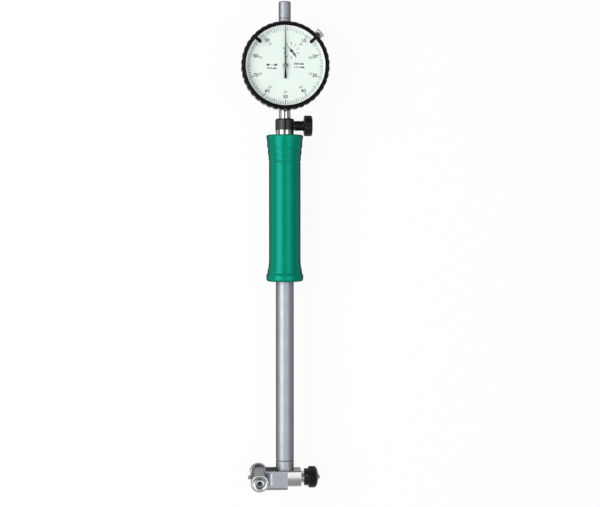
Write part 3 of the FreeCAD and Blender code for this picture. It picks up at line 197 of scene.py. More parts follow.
def turned(profile, axis="z", at=(0, 0, 0), soft=0.0, segments=0, limit=None):
    """A shape turned from half a section of (radius, height), each corner softened by its own third value or soft.

    A section that starts off the axis is closed into a ring. limit gives the greatest radius at an angle, for flutes
    and grooves along the shape.
    """
    shape = bmesh.new()
    closed = profile[0][0] > 0
    segments = segments or bpy.context.scene.gauge_sizes.segments
    points = [shape.verts.new((corner[0], 0, corner[1])) for corner in profile]
    for pair in zip(points, points[1:]):
        shape.edges.new(pair)
    if closed:
        shape.edges.new((points[-1], points[0]))
    corners = points if closed else points[1:-1]
    softness = {point: corner[2] if len(corner) > 2 else soft for point, corner in zip(points, profile)}
    for size in sorted(set(softness.values())):
        chosen = [point for point in corners if softness[point] == size and size > 0]
        if chosen:
            edges = list({edge for point in chosen for edge in point.link_edges})
            bevelled(shape, chosen + edges, size, 3, "VERTICES", True)
    bmesh.ops.spin(shape, geom=shape.verts[:] + shape.edges[:], cent=(0, 0, 0), axis=(0, 0, 1), dvec=(0, 0, 0),
                   angle=WHOLE_TURN, steps=segments, use_merge=True)
    bmesh.ops.remove_doubles(shape, verts=shape.verts, dist=1e-5)
    if limit:
        for point in shape.verts:
            radius = math.hypot(point.co.x, point.co.y)
            most = limit(math.atan2(point.co.y, point.co.x))
            if radius > most:
                point.co.xy *= most / radius
    bmesh.ops.recalc_face_normals(shape, faces=shape.faces)
    shape.transform(Matrix.Translation(at) @ TURN_TO_AXIS[axis])
    return shape


def fluted(count, circle, radius):
    """The greatest radius round a shape that count round cutters of that radius, centred on circle, have passed."""

    def limit(angle):
        step = WHOLE_TURN / count
        away = (angle + step / 2) % step - step / 2
        across = circle * math.sin(away)
        if abs(across) >= radius:
            return circle
        return circle * math.cos(away) - math.sqrt(radius ** 2 - across ** 2)

    return limit


def grooved(count, ridge, root, share=0.6):
    """The greatest radius round a shape with count V grooves between flat ridges."""

    def limit(angle):
        phase = angle * count / WHOLE_TURN % 1
        return root + (ridge - root) * min(1, abs(phase - 0.5) * 2 / share)

    return limit


def rod(radius, start, length, axis="z", segments=0):
    """A plain round cutter or core."""
    return turned([(0, 0), (radius, 0), (radius, length), (0, length)], axis, start, segments=segments)


def box(x, y, z, soft=0.0, chamfer=0.0):
    """A block between three ranges, with its edges along X chamfered and then all its edges softened."""
    shape = bmesh.new()
    bmesh.ops.create_cube(shape, size=1)
    low = Vector((x[0], y[0], z[0]))
    high = Vector((x[1], y[1], z[1]))
    shape.transform(Matrix.Translation((low + high) / 2) @ Matrix.Diagonal((high - low).to_4d()))
    if chamfer:
        bevelled(shape, [e for e in shape.edges if abs((e.verts[0].co - e.verts[1].co).normalized().x) > 0.9],
                 chamfer, 1)
    if soft:
        bevelled(shape, shape.edges[:], soft, 2)
    return shape


def plate(outline, thickness, soft=0.0, rounded=()):
    """A flat plate on z = 0 from a short outline of (x, y), some corners rounded by (index, radius)."""
    shape = bmesh.new()
    points = [shape.verts.new((x, y, 0)) for x, y in outline]
    shape.faces.new(points)
    for radius in sorted({size for _, size in rounded}):
        chosen = [points[index] for index, size in rounded if size == radius]
        edges = list({edge for point in chosen for edge in point.link_edges})
        bevelled(shape, chosen + edges + shape.faces[:], radius, 12, "VERTICES", True)
    raised = bmesh.ops.extrude_face_region(shape, geom=shape.faces[:])
    lifted = [item for item in raised["geom"] if isinstance(item, bmesh.types.BMVert)]
    bmesh.ops.translate(shape, vec=(0, 0, thickness), verts=lifted)
    bmesh.ops.recalc_face_normals(shape, faces=shape.faces)
    if soft:
        bevelled(shape, [e for e in shape.edges if abs(e.verts[0].co.z - e.verts[1].co.z) < 1e-6], soft, 2)
    return shape


def placed(at, turn=0.0, axis="Z"):
    """The matrix that turns a shape about one axis and then moves it to a place."""
    return Matrix.Translation(at) @ Matrix.Rotation(turn, 4, axis)


def moved(shape, matrix):
    shape.transform(matrix)
    return shape


def linked(name, data):
    holder = bpy.data.objects.new(name, data)
    bpy.context.scene.collection.objects.link(holder)
    return holder


def held(name, shape):
    """A new object in the scene that takes over the shape as its mesh."""
    mesh = bpy.data.meshes.new(name)
    shape.to_mesh(mesh)
    shape.free()
    return linked(name, mesh)


def combined(operation, shape, *others):
    """One closed shape joined to others, or cut by them, with exact Booleans."""
    helpers = [held("helper", part) for part in (shape, *others)]
    for helper in helpers[1:]:
        modifier = helpers[0].modifiers.new("combine", "BOOLEAN")
        modifier.operation = operation
        modifier.solver = "EXACT"
        modifier.object = helper
    result = bmesh.new()
    result.from_object(helpers[0], bpy.context.evaluated_depsgraph_get())
    for helper in helpers:
        bpy.data.meshes.remove(helper.data)
    bmesh.ops.remove_doubles(result, verts=result.verts, dist=1e-5)
    if not result.faces:
        raise RuntimeError("a Boolean left nothing")
    return result


def joined(shape, *others):
    return combined("UNION", shape, *others)


def cut(shape, *others):
    return combined("DIFFERENCE", shape, *others)


def soften(shape, offset, wanted):
    """Rounds the sharp edges that wanted picks by their middle point."""
    sharp = [
        edge for edge in shape.edges
        if edge.is_manifold and edge.calc_face_angle() > CREASE and edge.calc_length() > 2 * offset
        and wanted((edge.verts[0].co + edge.verts[1].co) / 2)]
    bevelled(shape, sharp, offset, 2, clamp=True)


def merged(shapes):
    """Separate closed shapes in one mesh."""
    together = bmesh.new()
    for shape in shapes:
        mesh = bpy.data.meshes.new("helper")
        shape.to_mesh(mesh)
        shape.free()
        together.from_mesh(mesh)
        bpy.data.meshes.remove(mesh)
    return together


def add_piece(name, shape, finish, body, stands_for=()):
    """Sets a finished shape into the frame, on its body, in its finish, in place of the CAD nodes it stands for."""
    piece = held(name, moved(shape, PLACE))
    piece.data.shade_smooth()
    piece.data.set_sharp_from_angle(angle=CREASE)
    piece.data.materials.append(FINISHES[finish])
    weighted = piece.modifiers.new("flat faces", "WEIGHTED_NORMAL")
    weighted.keep_sharp = True
    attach(piece, body)
    if stands_for:
        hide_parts(*stands_for)
    return piece


def paint(piece, finish, chosen):
    """Gives the faces that chosen picks, by their middle in the gauge's millimetres, a second finish."""
    piece.data.materials.append(FINISHES[finish])
    to_gauge = PLACE.inverted()
    for face in piece.data.polygons:
        if chosen(to_gauge @ face.center):
            face.material_index = len(piece.data.materials) - 1


# Finishes
def feed(tree, socket, value):
    """Links a socket to another node's output, or sets its own value."""
    if isinstance(value, bpy.types.NodeSocket):
        tree.links.new(value, socket)
    else:
        socket.default_value = value


def add_node(tree, kind, **values):
    """A new node with inputs fed by their names."""
    made = tree.nodes.new(kind)
    for socket, value in values.items():
        feed(tree, made.inputs[socket.replace("_", " ")], value)
    return made


def colour_between(tree, share, first, second):
    """The output of a node that mixes two colours."""
    made = tree.nodes.new("ShaderNodeMix")
    made.data_type = "RGBA"
    for index, value in ((0, share), (6, first), (7, second)):
        feed(tree, made.inputs[index], value)
    return made.outputs[2]


class Finish:
    """A procedural material on Object coordinates, built node by node."""

    def __init__(self, name, base, **sockets):
        self.material = bpy.data.materials.new(name)
        self.material.use_nodes = True
        FINISHES[name] = self.material
        self.tree = self.material.node_tree
        self.shader = self.tree.nodes["Principled BSDF"]
        self.space = self.tree.nodes.new("ShaderNodeTexCoord").outputs["Object"]
        self.base = Vector(base)
        self.shader.inputs["Base Color"].default_value = (*base, 1)
        for socket, value in sockets.items():
            self.shader.inputs[socket.replace("_", " ")].default_value = value

    def node(self, kind, **values):
        return add_node(self.tree, kind, **values)

    def noise(self, scale, stretch=(1, 1, 1), detail=3.0):
        """Noise with features about 1/scale metres across, drawn out where stretch is small."""
        mapped = self.node("ShaderNodeMapping", Vector=self.space, Scale=stretch)
        made = self.node("ShaderNodeTexNoise", Vector=mapped.outputs["Vector"], Scale=scale, Detail=detail)
        return made.outputs["Fac"]

    def between(self, value, low, high):
        made = self.node("ShaderNodeMapRange", Value=value, From_Min=0.3, From_Max=0.7, To_Min=low, To_Max=high)
        return made.outputs["Result"]

    def vary_colour(self, value, dark=0.93, light=1.05):
        """Lets the base colour drift between a darker and a lighter tone."""
        lightest = [min(1, channel) for channel in self.base * light]
        mixed = colour_between(self.tree, self.between(value, 0.0, 1.0), (*(self.base * dark), 1), (*lightest, 1))
        feed(self.tree, self.shader.inputs["Base Color"], mixed)

    def vary_roughness(self, value, low, high):
        feed(self.tree, self.shader.inputs["Roughness"], self.between(value, low, high))

    def bump(self, value, strength, distance):
        made = self.node("ShaderNodeBump", Height=value, Strength=strength, Distance=distance)
        feed(self.tree, self.shader.inputs["Normal"], made.outputs["Normal"])


def metal_finish(name, base, low, high, grain=4000, stretch=(1, 1, 1), bump=0.08, smoke=0.5, rim=1.0):
    """Bare or plated metal: fine machining grain, slow smudges in its gloss and a slight drift in its tone.

    smoke is how much light a thin clear film lets through straight on, so that edges turn darker, and rim is how
    bright a round bar's very edges stay.
    """
    bare = [min(1, channel / smoke) for channel in base]
    finish = Finish(name, bare, Metallic=1.0, Specular_Tint=(rim, rim, rim, 1), Coat_Weight=1.0, Coat_IOR=1.0,
                    Coat_Tint=(smoke, smoke, smoke, 1))
    finish.vary_colour(finish.noise(90, detail=2.0), 0.95, 1.04)
    finish.vary_roughness(finish.noise(160, detail=4.0), low, high)
    finish.bump(finish.noise(grain, stretch), bump, 0.00002)


def dark_finish(name, base, low, high, grain=2500, bump=0.1, gloss=0.35):
    """Black oxide, anodising, paint or plastic."""
    finish = Finish(name, base, IOR=1.5, Specular_IOR_Level=gloss)
    finish.vary_colour(finish.noise(220, detail=3.0), 0.7, 1.5)
    finish.vary_roughness(finish.noise(300, detail=4.0), low, high)
    finish.bump(finish.noise(grain), bump, 0.00003)


def grip_finish(name, base):
    """Moulded soft plastic: a greenish sheen over a fine spark-eroded grain, and deeper colour towards its edges."""
    film = (0.5, 0.6, 0.6)
    bare = [channel / film[index] for index, channel in enumerate(base)]
    finish = Finish(name, bare, IOR=1.55, Specular_IOR_Level=0.8, Specular_Tint=(0.12, 1.0, 0.97, 1), Coat_Weight=1.0,
                    Coat_IOR=1.0, Coat_Tint=(*film, 1))
    finish.vary_colour(finish.noise(60, detail=3.0), 0.94, 1.06)
    finish.vary_roughness(finish.noise(400, detail=3.0), 0.2, 0.27)
    finish.bump(finish.noise(5200, detail=2.0), 0.05, 0.00004)


def dial_finish(name, base):
    """Enamelled sheet with an eggshell surface."""
    finish = Finish(name, base)
    finish.vary_colour(finish.noise(140, detail=2.0), 0.985, 1.01)
    finish.vary_roughness(finish.noise(500), 0.5, 0.62)
    finish.bump(finish.noise(3000), 0.05, 0.00001)


def crystal_finish(name):
    """Clear acrylic: mostly straight through, with a trace of gloss and of wiping marks."""
    finish = Finish(name, (0.96, 0.98, 0.97), Transmission_Weight=1.0, IOR=1.49, Alpha=0.08)
    finish.vary_roughness(finish.noise(60, (1, 4, 1)), 0.015, 0.05)


# Operators
def settings(context):
    return context.scene.gauge_sizes, context.scene.gauge_finishes


class Step:
    """What every step of the build shares."""

    bl_options = {"REGISTER", "UNDO"}


class MakeFinishes(Step, Operator):
    """Make the procedural finishes and give every carried-over CAD node its own"""

    bl_idname = "bore_gauge.finishes"
    bl_label = "Finishes"

    def execute(self, context):
        _, look = settings(context)
        steel = Vector(look.steel)
        satin = Vector(look.satin_chrome)
        metal_finish("satin_chrome", look.satin_chrome, 0.28, 0.34, 3000, bump=0.01, smoke=0.85)
        metal_finish("stem_chrome", satin * 0.96, 0.48, 0.56, 3000, (1, 0.05, 1), 0.03, 0.48, 0.4)
        metal_finish("bright_chrome", look.bright_chrome, 0.03, 0.06, 5000, bump=0.002, smoke=0.8)
        metal_finish("tube_chrome", look.bright_chrome, 0.04, 0.08, 5000, bump=0.004, smoke=0.59, rim=0.2)
        metal_finish("dark_chrome", look.dark_chrome, 0.46, 0.56, 2200, bump=0.15, smoke=0.8)
        metal_finish("steel", steel, 0.10, 0.16, 3500, bump=0.01, smoke=0.55)
        metal_finish("hub_steel", steel * 0.6, 0.3, 0.4, 3500, bump=0.03, smoke=0.6)
        metal_finish("hard_steel", steel * 0.85, 0.16, 0.24, 4500)
        metal_finish("carbide", steel * 0.55, 0.2, 0.3, 6000)
        metal_finish("spring_steel", steel * 0.8, 0.25, 0.35)
        metal_finish("case_grey", steel * 1.1, 0.28, 0.38, 6000, bump=0.12)
        metal_finish("brass", look.brass, 0.2, 0.32, smoke=0.75)
        metal_finish("bronze", Vector(look.brass) * 0.8, 0.35, 0.5, smoke=0.75)
        dark_finish("black_steel", look.black_metal, 0.3, 0.42, gloss=0.25)
        dark_finish("bezel_black", look.black_metal, 0.2, 0.3, 4000, 0.04, 0.08)
        dark_finish("hand_black", look.black_metal, 0.4, 0.5, gloss=0.1)
        dark_finish("marker_black", look.black_metal, 0.42, 0.55, gloss=0.1)
        dark_finish("knob_black", look.knob_black, 0.26, 0.38, 1800, 0.1, 0.22)
        dark_finish("print_black", look.print_black, 0.6, 0.7, gloss=0.1)
        dark_finish("print_red", look.print_red, 0.6, 0.7, gloss=0.1)
        grip_finish("grip_green", look.grip_green)
        dial_finish("dial_face", look.dial_white)
        dial_finish("ring_white", (0.95, 0.96, 0.96))
        crystal_finish("clear")
        slots = {part["node"]: part["material_slot"] for part in frame["record"]["subparts"]}
        for node, carried in frame["nodes"].items():
            carried.data.materials.clear()
            carried.data.materials.append(FINISHES[slots[node]])
        return {"FINISHED"}


class MakeHead(Step, Operator):
    """Build the head block with its collar, neck and bores"""

    bl_idname = "bore_gauge.head"
    bl_label = "Head Block"

    def execute(self, context):
        sizes, _ = settings(context)
        soft = mm(sizes.edge_round)
        block = box((BLOCK_LEFT, BLOCK_RIGHT), (BLOCK_LOW.y, COLLAR_FOOT), (BLOCK_LOW.z, BLOCK_HIGH.z), soft=soft,
                    chamfer=0.9)
        top = STEM_LOW.y
        spigot = STEM_BORE - PRESS
        root = COLLAR_FOOT - 1
        collar = turned(
            [(0, root), (4.9, root, 0.01), (4.9, COLLAR_FOOT, 0.01), (STEM_RADIUS, COLLAR_FOOT),
             (STEM_RADIUS, top - STEM_CHAMFER), (STEM_RADIUS - STEM_CHAMFER, top), (spigot, top), (spigot, top + 8),
             (0, top + 8)], "y", soft=soft)
        neck = turned(
            [(0, BLOCK_RIGHT - 1), (NECK_RADIUS, BLOCK_RIGHT - 1, 0.01), (NECK_RADIUS, BLOCK_HIGH.x - 0.5),
             (NECK_RADIUS - 0.5, BLOCK_HIGH.x), (0, BLOCK_HIGH.x)], "x", soft=soft)
        mouth = BLOCK_LEFT - 1
        spring_side = 4.2
        crank_chamber = box((-3.94, 1.3), (-6.4, 5.54), (-1.35, 1.35))
        bush_bore = rod(3.51, (0, root, 0), 20, "y")
        sleeve_bore = rod(SLEEVE_RADIUS + PRESS, (mouth, 0, 0), 2.16, "x")
        anvil_bore = rod(SHANK_RADIUS + RUN, (6.7, 0, 0), 14, "x")
        pivot_hole = rod(0.56, (-2.6, 2.6, -6.2), 12.4)
        spring_bores = [rod(1.7, (mouth, 0, side * spring_side), 14, "x", 48) for side in (1, -1)]
        stop_hole = rod(0.91, (-1, -6.4, -4), 4.2, "y", 48)
        body = cut(joined(block, collar, neck), crank_chamber, bush_bore, sleeve_bore, anvil_bore, pivot_hole,
                   *spring_bores, stop_hole)
        piece = add_piece("head_block", body, "bright_chrome", "gauge", ["head_body"])
        paint(piece, "stem_chrome", lambda point: point.y > COLLAR_FOOT + 0.05)
        return {"FINISHED"}


class MakeContact(Step, Operator):
    """Build the moving contact's sleeve and rounded tip"""

    bl_idname = "bore_gauge.contact"
    bl_label = "Moving Contact"

    def execute(self, context):
        low, high = extent("contact_sleeve")
        add_piece("guide_sleeve", turned(
            [(1.54, high.x), (SLEEVE_RADIUS, high.x), (SLEEVE_RADIUS, low.x + 0.5), (SLEEVE_RADIUS - 0.5, low.x),
             (1.04, low.x), (1.04, low.x + 1.1), (1.54, low.x + 1.1)], "x", soft=0.08, segments=64), "hard_steel",
            "gauge", ["contact_sleeve"])
        low, high = extent("contact_tip")
        add_piece("measuring_tip", turned(
            [(0, low.x), (0.75, low.x + 0.2, 0.35), (1.4, low.x + 1.1, 0.25), (1.4, high.x), (1.01, high.x),
             (1.01, high.x - 0.7), (0, high.x - 0.7)], "x", soft=0.05, segments=64), "hard_steel", "contact",
            ["contact_tip"])
        return {"FINISHED"}


class MakeAnvil(Step, Operator):
    """Build the anvil, its hard point and the grooved lock nut"""

    bl_idname = "bore_gauge.anvil"
    bl_label = "Anvil and Lock Nut"

    def execute(self, context):
        sizes, _ = settings(context)
        low, high = extent("anvil")
        flange_foot = FLANGE_TOP - 1.4
        add_piece("anvil_rod", turned(
            [(0, low.x), (SHANK_RADIUS - 0.3, low.x), (SHANK_RADIUS, low.x + 0.3), (SHANK_RADIUS, flange_foot),
             (3.4, flange_foot), (3.4, FLANGE_TOP), (2.2, FLANGE_TOP), (2.2, high.x - 0.4), (1.8, high.x),
             (1.21, high.x), (1.21, high.x - 0.8), (0, high.x - 0.8)], "x", soft=0.08, segments=64), "hard_steel",
            "gauge", ["anvil"])
        low, high = extent("anvil_tip")
        add_piece("anvil_point", turned(
            [(0, low.x), (1.2, low.x), (1.2, high.x - 0.5, 0.2), (0.75, high.x - 0.12, 0.25), (0, high.x)], "x",
            soft=0.05, segments=64), "carbide", "gauge", ["anvil_tip"])
        bore = NECK_RADIUS + RUN
        ridge = NUT_HIGH.y
        head = NUT_START + 3
        end = NUT_HIGH.x - 1
        nut = turned(
            [(bore, NUT_START), (5.55, NUT_START), (5.95, NUT_START + 0.4), (5.95, head, 0.25), (ridge - 0.5, head),
             (ridge, head + 0.5), (ridge, end - 1.2, 0.3), (ridge - 1.1, end, 0.5), (ridge - 2.8, end + 0.75, 0.5),
             (2.75, NUT_HIGH.x, 0.2), (2.35, NUT_HIGH.x - 0.3), (2.35, FLANGE_TOP + 0.5),
             (bore + 0.2, FLANGE_TOP + 0.5), (bore + 0.2, FLANGE_TOP), (bore, FLANGE_TOP)], "x", soft=0.15,
            segments=sizes.nut_grooves * 10, limit=grooved(sizes.nut_grooves, ridge, ridge - 0.5))
        dimple_x = NUT_START + 1.5
        dimple = moved(rod(0.65, (0, 0, 5.3), 2, segments=32), placed((dimple_x, 0, 0), math.radians(-20), "X"))
        piece = add_piece("lock_nut", cut(nut, dimple), "black_steel", "nut", ["anvil_nut"])
        # The dimple is real geometry. Its inside is painted in light bare steel against the black nut, as a painted
        # highlight for the light spot on the nut's hub.
        paint(piece, "steel", lambda point: abs(point.x - dimple_x) < 0.6 and 4.5 < point.yz.length < 5.4
              and point.z > 4)
        return {"FINISHED"}


class MakeBridge(Step, Operator):
    """Build the centring bridge: a trough flared into a round cross bar"""

    bl_idname = "bore_gauge.bridge"
    bl_label = "Centring Bridge"

    def execute(self, context):
        sizes, _ = settings(context)
        right = BRIDGE_HIGH.x
        cavity = BAR_X + BAR_RADIUS
        bottom = BRIDGE_LOW.y
        top = COLLAR_FOOT - 0.1
        half = 8.2
        web_half = 4.2
        flare_radius = 5

        def trough(left, half_width, floor, corner, rim, past=0):
            outline = [(-half_width, rim), (-half_width, floor), (half_width, floor), (half_width, rim)]
            return moved(plate(outline, right + past - left, rounded=[(1, corner), (2, corner)]),
                         placed((left, 0, 0), QUARTER_TURN, "Y"))

        flare = half + flare_radius
        flare_end = cavity + flare_radius
        bend = flare_radius - PRESS
        web = plate(
            [(BAR_X, -flare), (cavity, -flare), (cavity, -half), (flare_end, -half), (flare_end, half),
             (cavity, half), (cavity, flare), (BAR_X, flare)], 2 * web_half, rounded=[(2, bend), (5, bend)])
        moved(web, placed((0, web_half, 0), QUARTER_TURN, "X"))
        seat = BAR_HALF + 0.2
        cross_bar = turned(
            [(0, -seat), (3.1, -seat), (3.1, -BAR_HALF), (BAR_RADIUS, -BAR_HALF), (BAR_RADIUS, BAR_HALF),
             (3.1, BAR_HALF), (3.1, seat), (0, seat)], "z", (BAR_X, 0, 0), soft=0.12)
        room = trough(cavity, half_width=7.05, floor=-5.65, corner=1.2, rim=top + 2, past=1)
        stop_slot = box((-10.45, 0), (bottom - 1, -4.65), (-5, -3))
        sleeve_hole = rod(SLEEVE_RADIUS + RUN, (BAR_X - 10, 0, 0), 20, "x")
        screw_holes = [rod(THREAD_RADIUS + PRESS, (BAR_X, 0, start), 7.5) for start in (-BAR_HALF - 1, BAR_HALF - 6.5)]
        channel = trough(cavity - 1, half, bottom, corner=1.8, rim=top)
        body = cut(joined(channel, cross_bar, web), room, stop_slot, sleeve_hole, *screw_holes)
        soften(body, mm(sizes.edge_round), lambda point: point.y > top - 0.01 and point.x > cavity + 0.5)
        add_piece("spring_bridge", body, "satin_chrome", "bridge", ["bridge_body"])
        return {"FINISHED"}


class MakeWheels(Step, Operator):
    """Build the two centring wheels and their socket screws"""

    bl_idname = "bore_gauge.wheels"
    bl_label = "Centring Wheels"

    def execute(self, context):
        radius = (WHEEL_HIGH.x - WHEEL_LOW.x) / 2
        thickness = WHEEL_HIGH.z - WHEEL_LOW.z
        head = 20.2
        socket_radius = 1.674
        for side, name in ((1, "upper"), (-1, "lower")):
            wheel = turned(
                [(2.0, 0), (radius - 0.6, 0), (radius, 0.6), (radius, thickness - 0.6), (radius - 0.6, thickness),
                 (radius - 1.5, thickness), (radius - 1.75, thickness - 0.2), (3.3, thickness - 0.2), (3.3, 2.35),
                 (2.0, 2.35)], "z", (0, 0, WHEEL_LOW.z), soft=0.1)
            screw = turned(
                [(0, 10.4), (THREAD_RADIUS, 10.4), (THREAD_RADIUS, 16.4), (1.96, 16.4), (1.96, 18.85), (3.1, 18.85),
                 (3.1, head, 0.25), (0, head)], "z", soft=0.06, segments=64)
            socket = turned([(0, 18.5), (socket_radius, 19.1), (socket_radius, 21.0), (0, 21.0)], segments=6)
            place = placed((BAR_X, 0, 0), 0 if side > 0 else math.pi, "X")
            add_piece(f"centring_wheel_{name}", moved(wheel, place), "bright_chrome", f"wheel_{name}",
                      [f"wheel_{name}"])
            piece = add_piece(f"axle_screw_{name}", moved(cut(screw, socket), place), "steel", "bridge",
                              ["wheel_screws"])
            # Painted shade: the hex socket's walls and floor are painted black steel on a plain steel screw, for the
            # darkness inside the recess.
            paint(piece, "black_steel", lambda point: 18.4 < abs(point.z) < head - 0.05
                  and math.hypot(point.x - BAR_X, point.y) < socket_radius - 0.014)
        return {"FINISHED"}


class MakeStem(Step, Operator):
    """Build the round stem"""

    bl_idname = "bore_gauge.stem"
    bl_label = "Stem"

    def execute(self, context):
        add_piece("stem", turned(
            [(STEM_BORE, STEM_LOW.y), (STEM_RADIUS - STEM_CHAMFER, STEM_LOW.y),
             (STEM_RADIUS, STEM_LOW.y + STEM_CHAMFER), (STEM_RADIUS, STEM_HIGH.y), (STEM_BORE, STEM_HIGH.y)], "y",
            soft=0.08), "stem_chrome", "gauge", ["stem_tube"])
        return {"FINISHED"}


class MakeGrip(Step, Operator):
    """Build the moulded grip with its flared rings and ribs"""

    bl_idname = "bore_gauge.grip"
    bl_label = "Grip"

    def execute(self, context):
        sizes, _ = settings(context)
        bore = STEM_RADIUS + PRESS
        waist = mm(sizes.grip_waist)
        ring = GRIP_HIGH.x
        low = GRIP_LOW.y
        top = GRIP_HIGH.y
        add_piece("grip", turned(
            [(bore, low), (ring - 0.3, low, 1.4), (ring, low + 2.6, 1.0), (ring, low + 4.2, 0.6),
             (ring - 0.95, low + 5.9, 0.12), (ring - 0.7, low + 6.3, 0.2), (waist + 0.25, low + 10.6, 1.8),
             (waist, low + 14.5, 2.4), (waist, top - 19.0, 0.3), (waist - 0.3, top - 18.5, 0.2),
             (waist + 0.35, top - 17.0, 1.1), (waist + 0.2, top - 14.4, 0.25), (waist + 0.85, top - 12.6, 1.1),
             (waist + 0.65, top - 9.6, 0.25), (waist + 1.35, top - 7.8, 1.1), (waist + 1.2, top - 4.9, 0.25),
             (ring - 0.55, top - 3.6, 1.2), (ring, top - 0.8, 0.5), (ring - 0.8, top, 0.4), (bore, top)], "y",
            soft=0.1), "grip_green", "gauge", ["handle_grip"])
        return {"FINISHED"}


class MakeClamp(Step, Operator):
    """Build the slit clamp collar and its fluted knob"""

    bl_idname = "bore_gauge.clamp"
    bl_label = "Clamp"

    def execute(self, context):
        sizes, _ = settings(context)
        foot = GRIP_HIGH.y
        top = COLLAR_HIGH.y
        radius = COLLAR_HIGH.x
        bore = INDICATOR_STEM_RADIUS + 0.03
        spigot = STEM_BORE - PRESS
        shoulder = foot + 3.3
        collar = turned(
            [(bore, COLLAR_LOW.y), (spigot - 0.4, COLLAR_LOW.y), (spigot, COLLAR_LOW.y + 0.4), (spigot, foot),
             (6.15, foot), (6.15, foot + 2.2), (6.3, foot + 2.3), (6.3, foot + 3.2), (radius - 0.2, shoulder),
             (radius, shoulder + 0.2), (radius, top - 0.9), (radius - 0.7, top), (bore, top)], "y", soft=0.08)
        axis_y = (KNOB_LOW.y + KNOB_HIGH.y) / 2
        slit_half = 0.45
        # The slit stops just short of the bore and leaves a thin web. Its walls and that web are painted black: painted
        # shade standing in for the dark depth of a slit cut through to the bore.
        painted_shade_floor = 4.25
        collar = cut(collar, box((-slit_half, slit_half), (shoulder, top + 1), (painted_shade_floor, radius + 1)),
                     rod(STUD_BORE, (0, axis_y, 0), radius + 1, "x", 48))
        piece = add_piece("clamp_ring", collar, "dark_chrome", "gauge", ["clamp_collar"])
        paint(piece, "tube_chrome", lambda point: point.y < shoulder - 0.05)
        # Painted shade: the slit's walls and floor get black steel so the slit shows as a dark line.
        paint(piece, "black_steel", lambda point: abs(point.x) < slit_half + 0.01 and point.z > painted_shade_floor - 0.05
              and point.y > shoulder)
        start = radius + 0.1
        end = KNOB_HIGH.x
        head = end - 5.7
        rim = 7.1
        knob = turned(
            [(0, start + 8.3), (STUD_BORE, start + 8.3), (STUD_BORE, start), (3.1, start), (3.4, start + 0.3),
             (3.4, head - 0.8), (4.2, head), (rim - 0.6, head), (rim, head + 0.6), (rim, end - 0.8),
             (rim - 0.8, end), (0, end)], "x", (0, axis_y, 0), soft=0.2, segments=sizes.knob_flutes * 24,
            limit=fluted(sizes.knob_flutes, rim + 0.495, 1.1))
        add_piece("thumb_knob", knob, "knob_black", "clamp_screw", ["clamp_knob"])
        return {"FINISHED"}


class MakeHousing(Step, Operator):
    """Build the indicator's housing, back cover, cover screws, mounting stem and guard"""

    bl_idname = "bore_gauge.housing"
    bl_label = "Indicator Housing"

    def execute(self, context):
        sizes, _ = settings(context)
        fine = sizes.segments * 2
        radius = 27.7
        back = HOUSING_LOW.z
        front = HOUSING_HIGH.z
        drum = turned(
            [(23.0, back), (radius - 0.6, back), (radius, back + 0.6), (radius, front - 0.3), (radius - 0.3, front),
             (25.4, front), (25.4, 2.6), (23.0, 2.6)], "z", DIAL, soft=0.12, segments=fine)
        reach = (HOUSING_HIGH.y - HOUSING_LOW.y) / 2
        for half_turn in (0, math.pi):
            boss = turned([(0, 24), (4.9, 24), (4.9, reach, 0.25), (0, reach)], "y")
            drum = joined(drum, moved(boss, placed(DIAL, half_turn)))
        outer = GUARD_HIGH.x
        drum = cut(drum, rod(INDICATOR_STEM_RADIUS + PRESS, DIAL - Vector((0, reach + 1, 0)), reach, "y"),
                   rod(outer + PRESS, DIAL, reach + 1, "y"))
        add_piece("housing", drum, "case_grey", "gauge", ["indicator_case"])
        face = COVER_LOW.z
        rim = (COVER_HIGH.y - COVER_LOW.y) / 2
        cover = turned(
            [(0, face), (rim - 0.9, face), (rim, face + 0.9, 0.4), (rim, back), (22.95, back), (22.95, back + 0.8),
             (21.75, back + 0.8), (21.75, back), (0, back)], "z", DIAL, soft=0.1, segments=fine)
        seats = []
        screws = []
        screw_circle = 25.3
        for index in range(4):
            turn = math.radians(45 + 90 * index)
            place = DIAL + screw_circle * Vector((math.cos(turn), math.sin(turn), 0)) + Vector((0, 0, face))
            seats.append(turned([(0, -1), (1.52, -1), (1.52, 0.1), (0.81, 0.9), (0.81, 3), (0, 3)], "z", place,
                                segments=48))
            screw = turned([(0, 0.1), (1.5, 0.1, 0.08), (0.8, 0.9), (0.8, 5.7), (0, 5.7)], "z", place, segments=48)
            slot = box((-2, 2), (-0.2, 0.2), (-1, 0.45))
            screws.append(cut(screw, moved(slot, placed(place, turn * 1.7))))
        add_piece("cover", cut(cover, *seats), "case_grey", "gauge", ["back_cover"])
        add_piece("cover_screws", merged(screws), "steel", "gauge", ["back_cover_screws"])
        low, high = extent("lower_stem")
        bore = 2.0 + RUN
        tube = INDICATOR_STEM_RADIUS
        add_piece("mounting_stem", turned(
            [(bore, low.y), (tube - 0.4, low.y), (tube, low.y + 0.4), (tube, high.y), (bore, high.y)], "y",
            soft=0.08), "tube_chrome", "gauge", ["lower_stem"])
        foot = GUARD_LOW.y
        line = DIAL.y + radius + 5.4
        tip = GUARD_HIGH.y
        add_piece("guard", turned(
            [(bore, foot), (outer, foot), (outer, line), (outer - 0.2, line + 0.15), (outer - 0.2, line + 0.35),
             (outer, line + 0.5), (outer, tip, 0.8), (0, tip), (0, tip - 1.5), (2.6, tip - 1.5), (2.6, foot + 5),
             (bore, foot + 5)], "y", soft=0.06), "stem_chrome", "gauge", ["spindle_cap"])
        return {"FINISHED"}


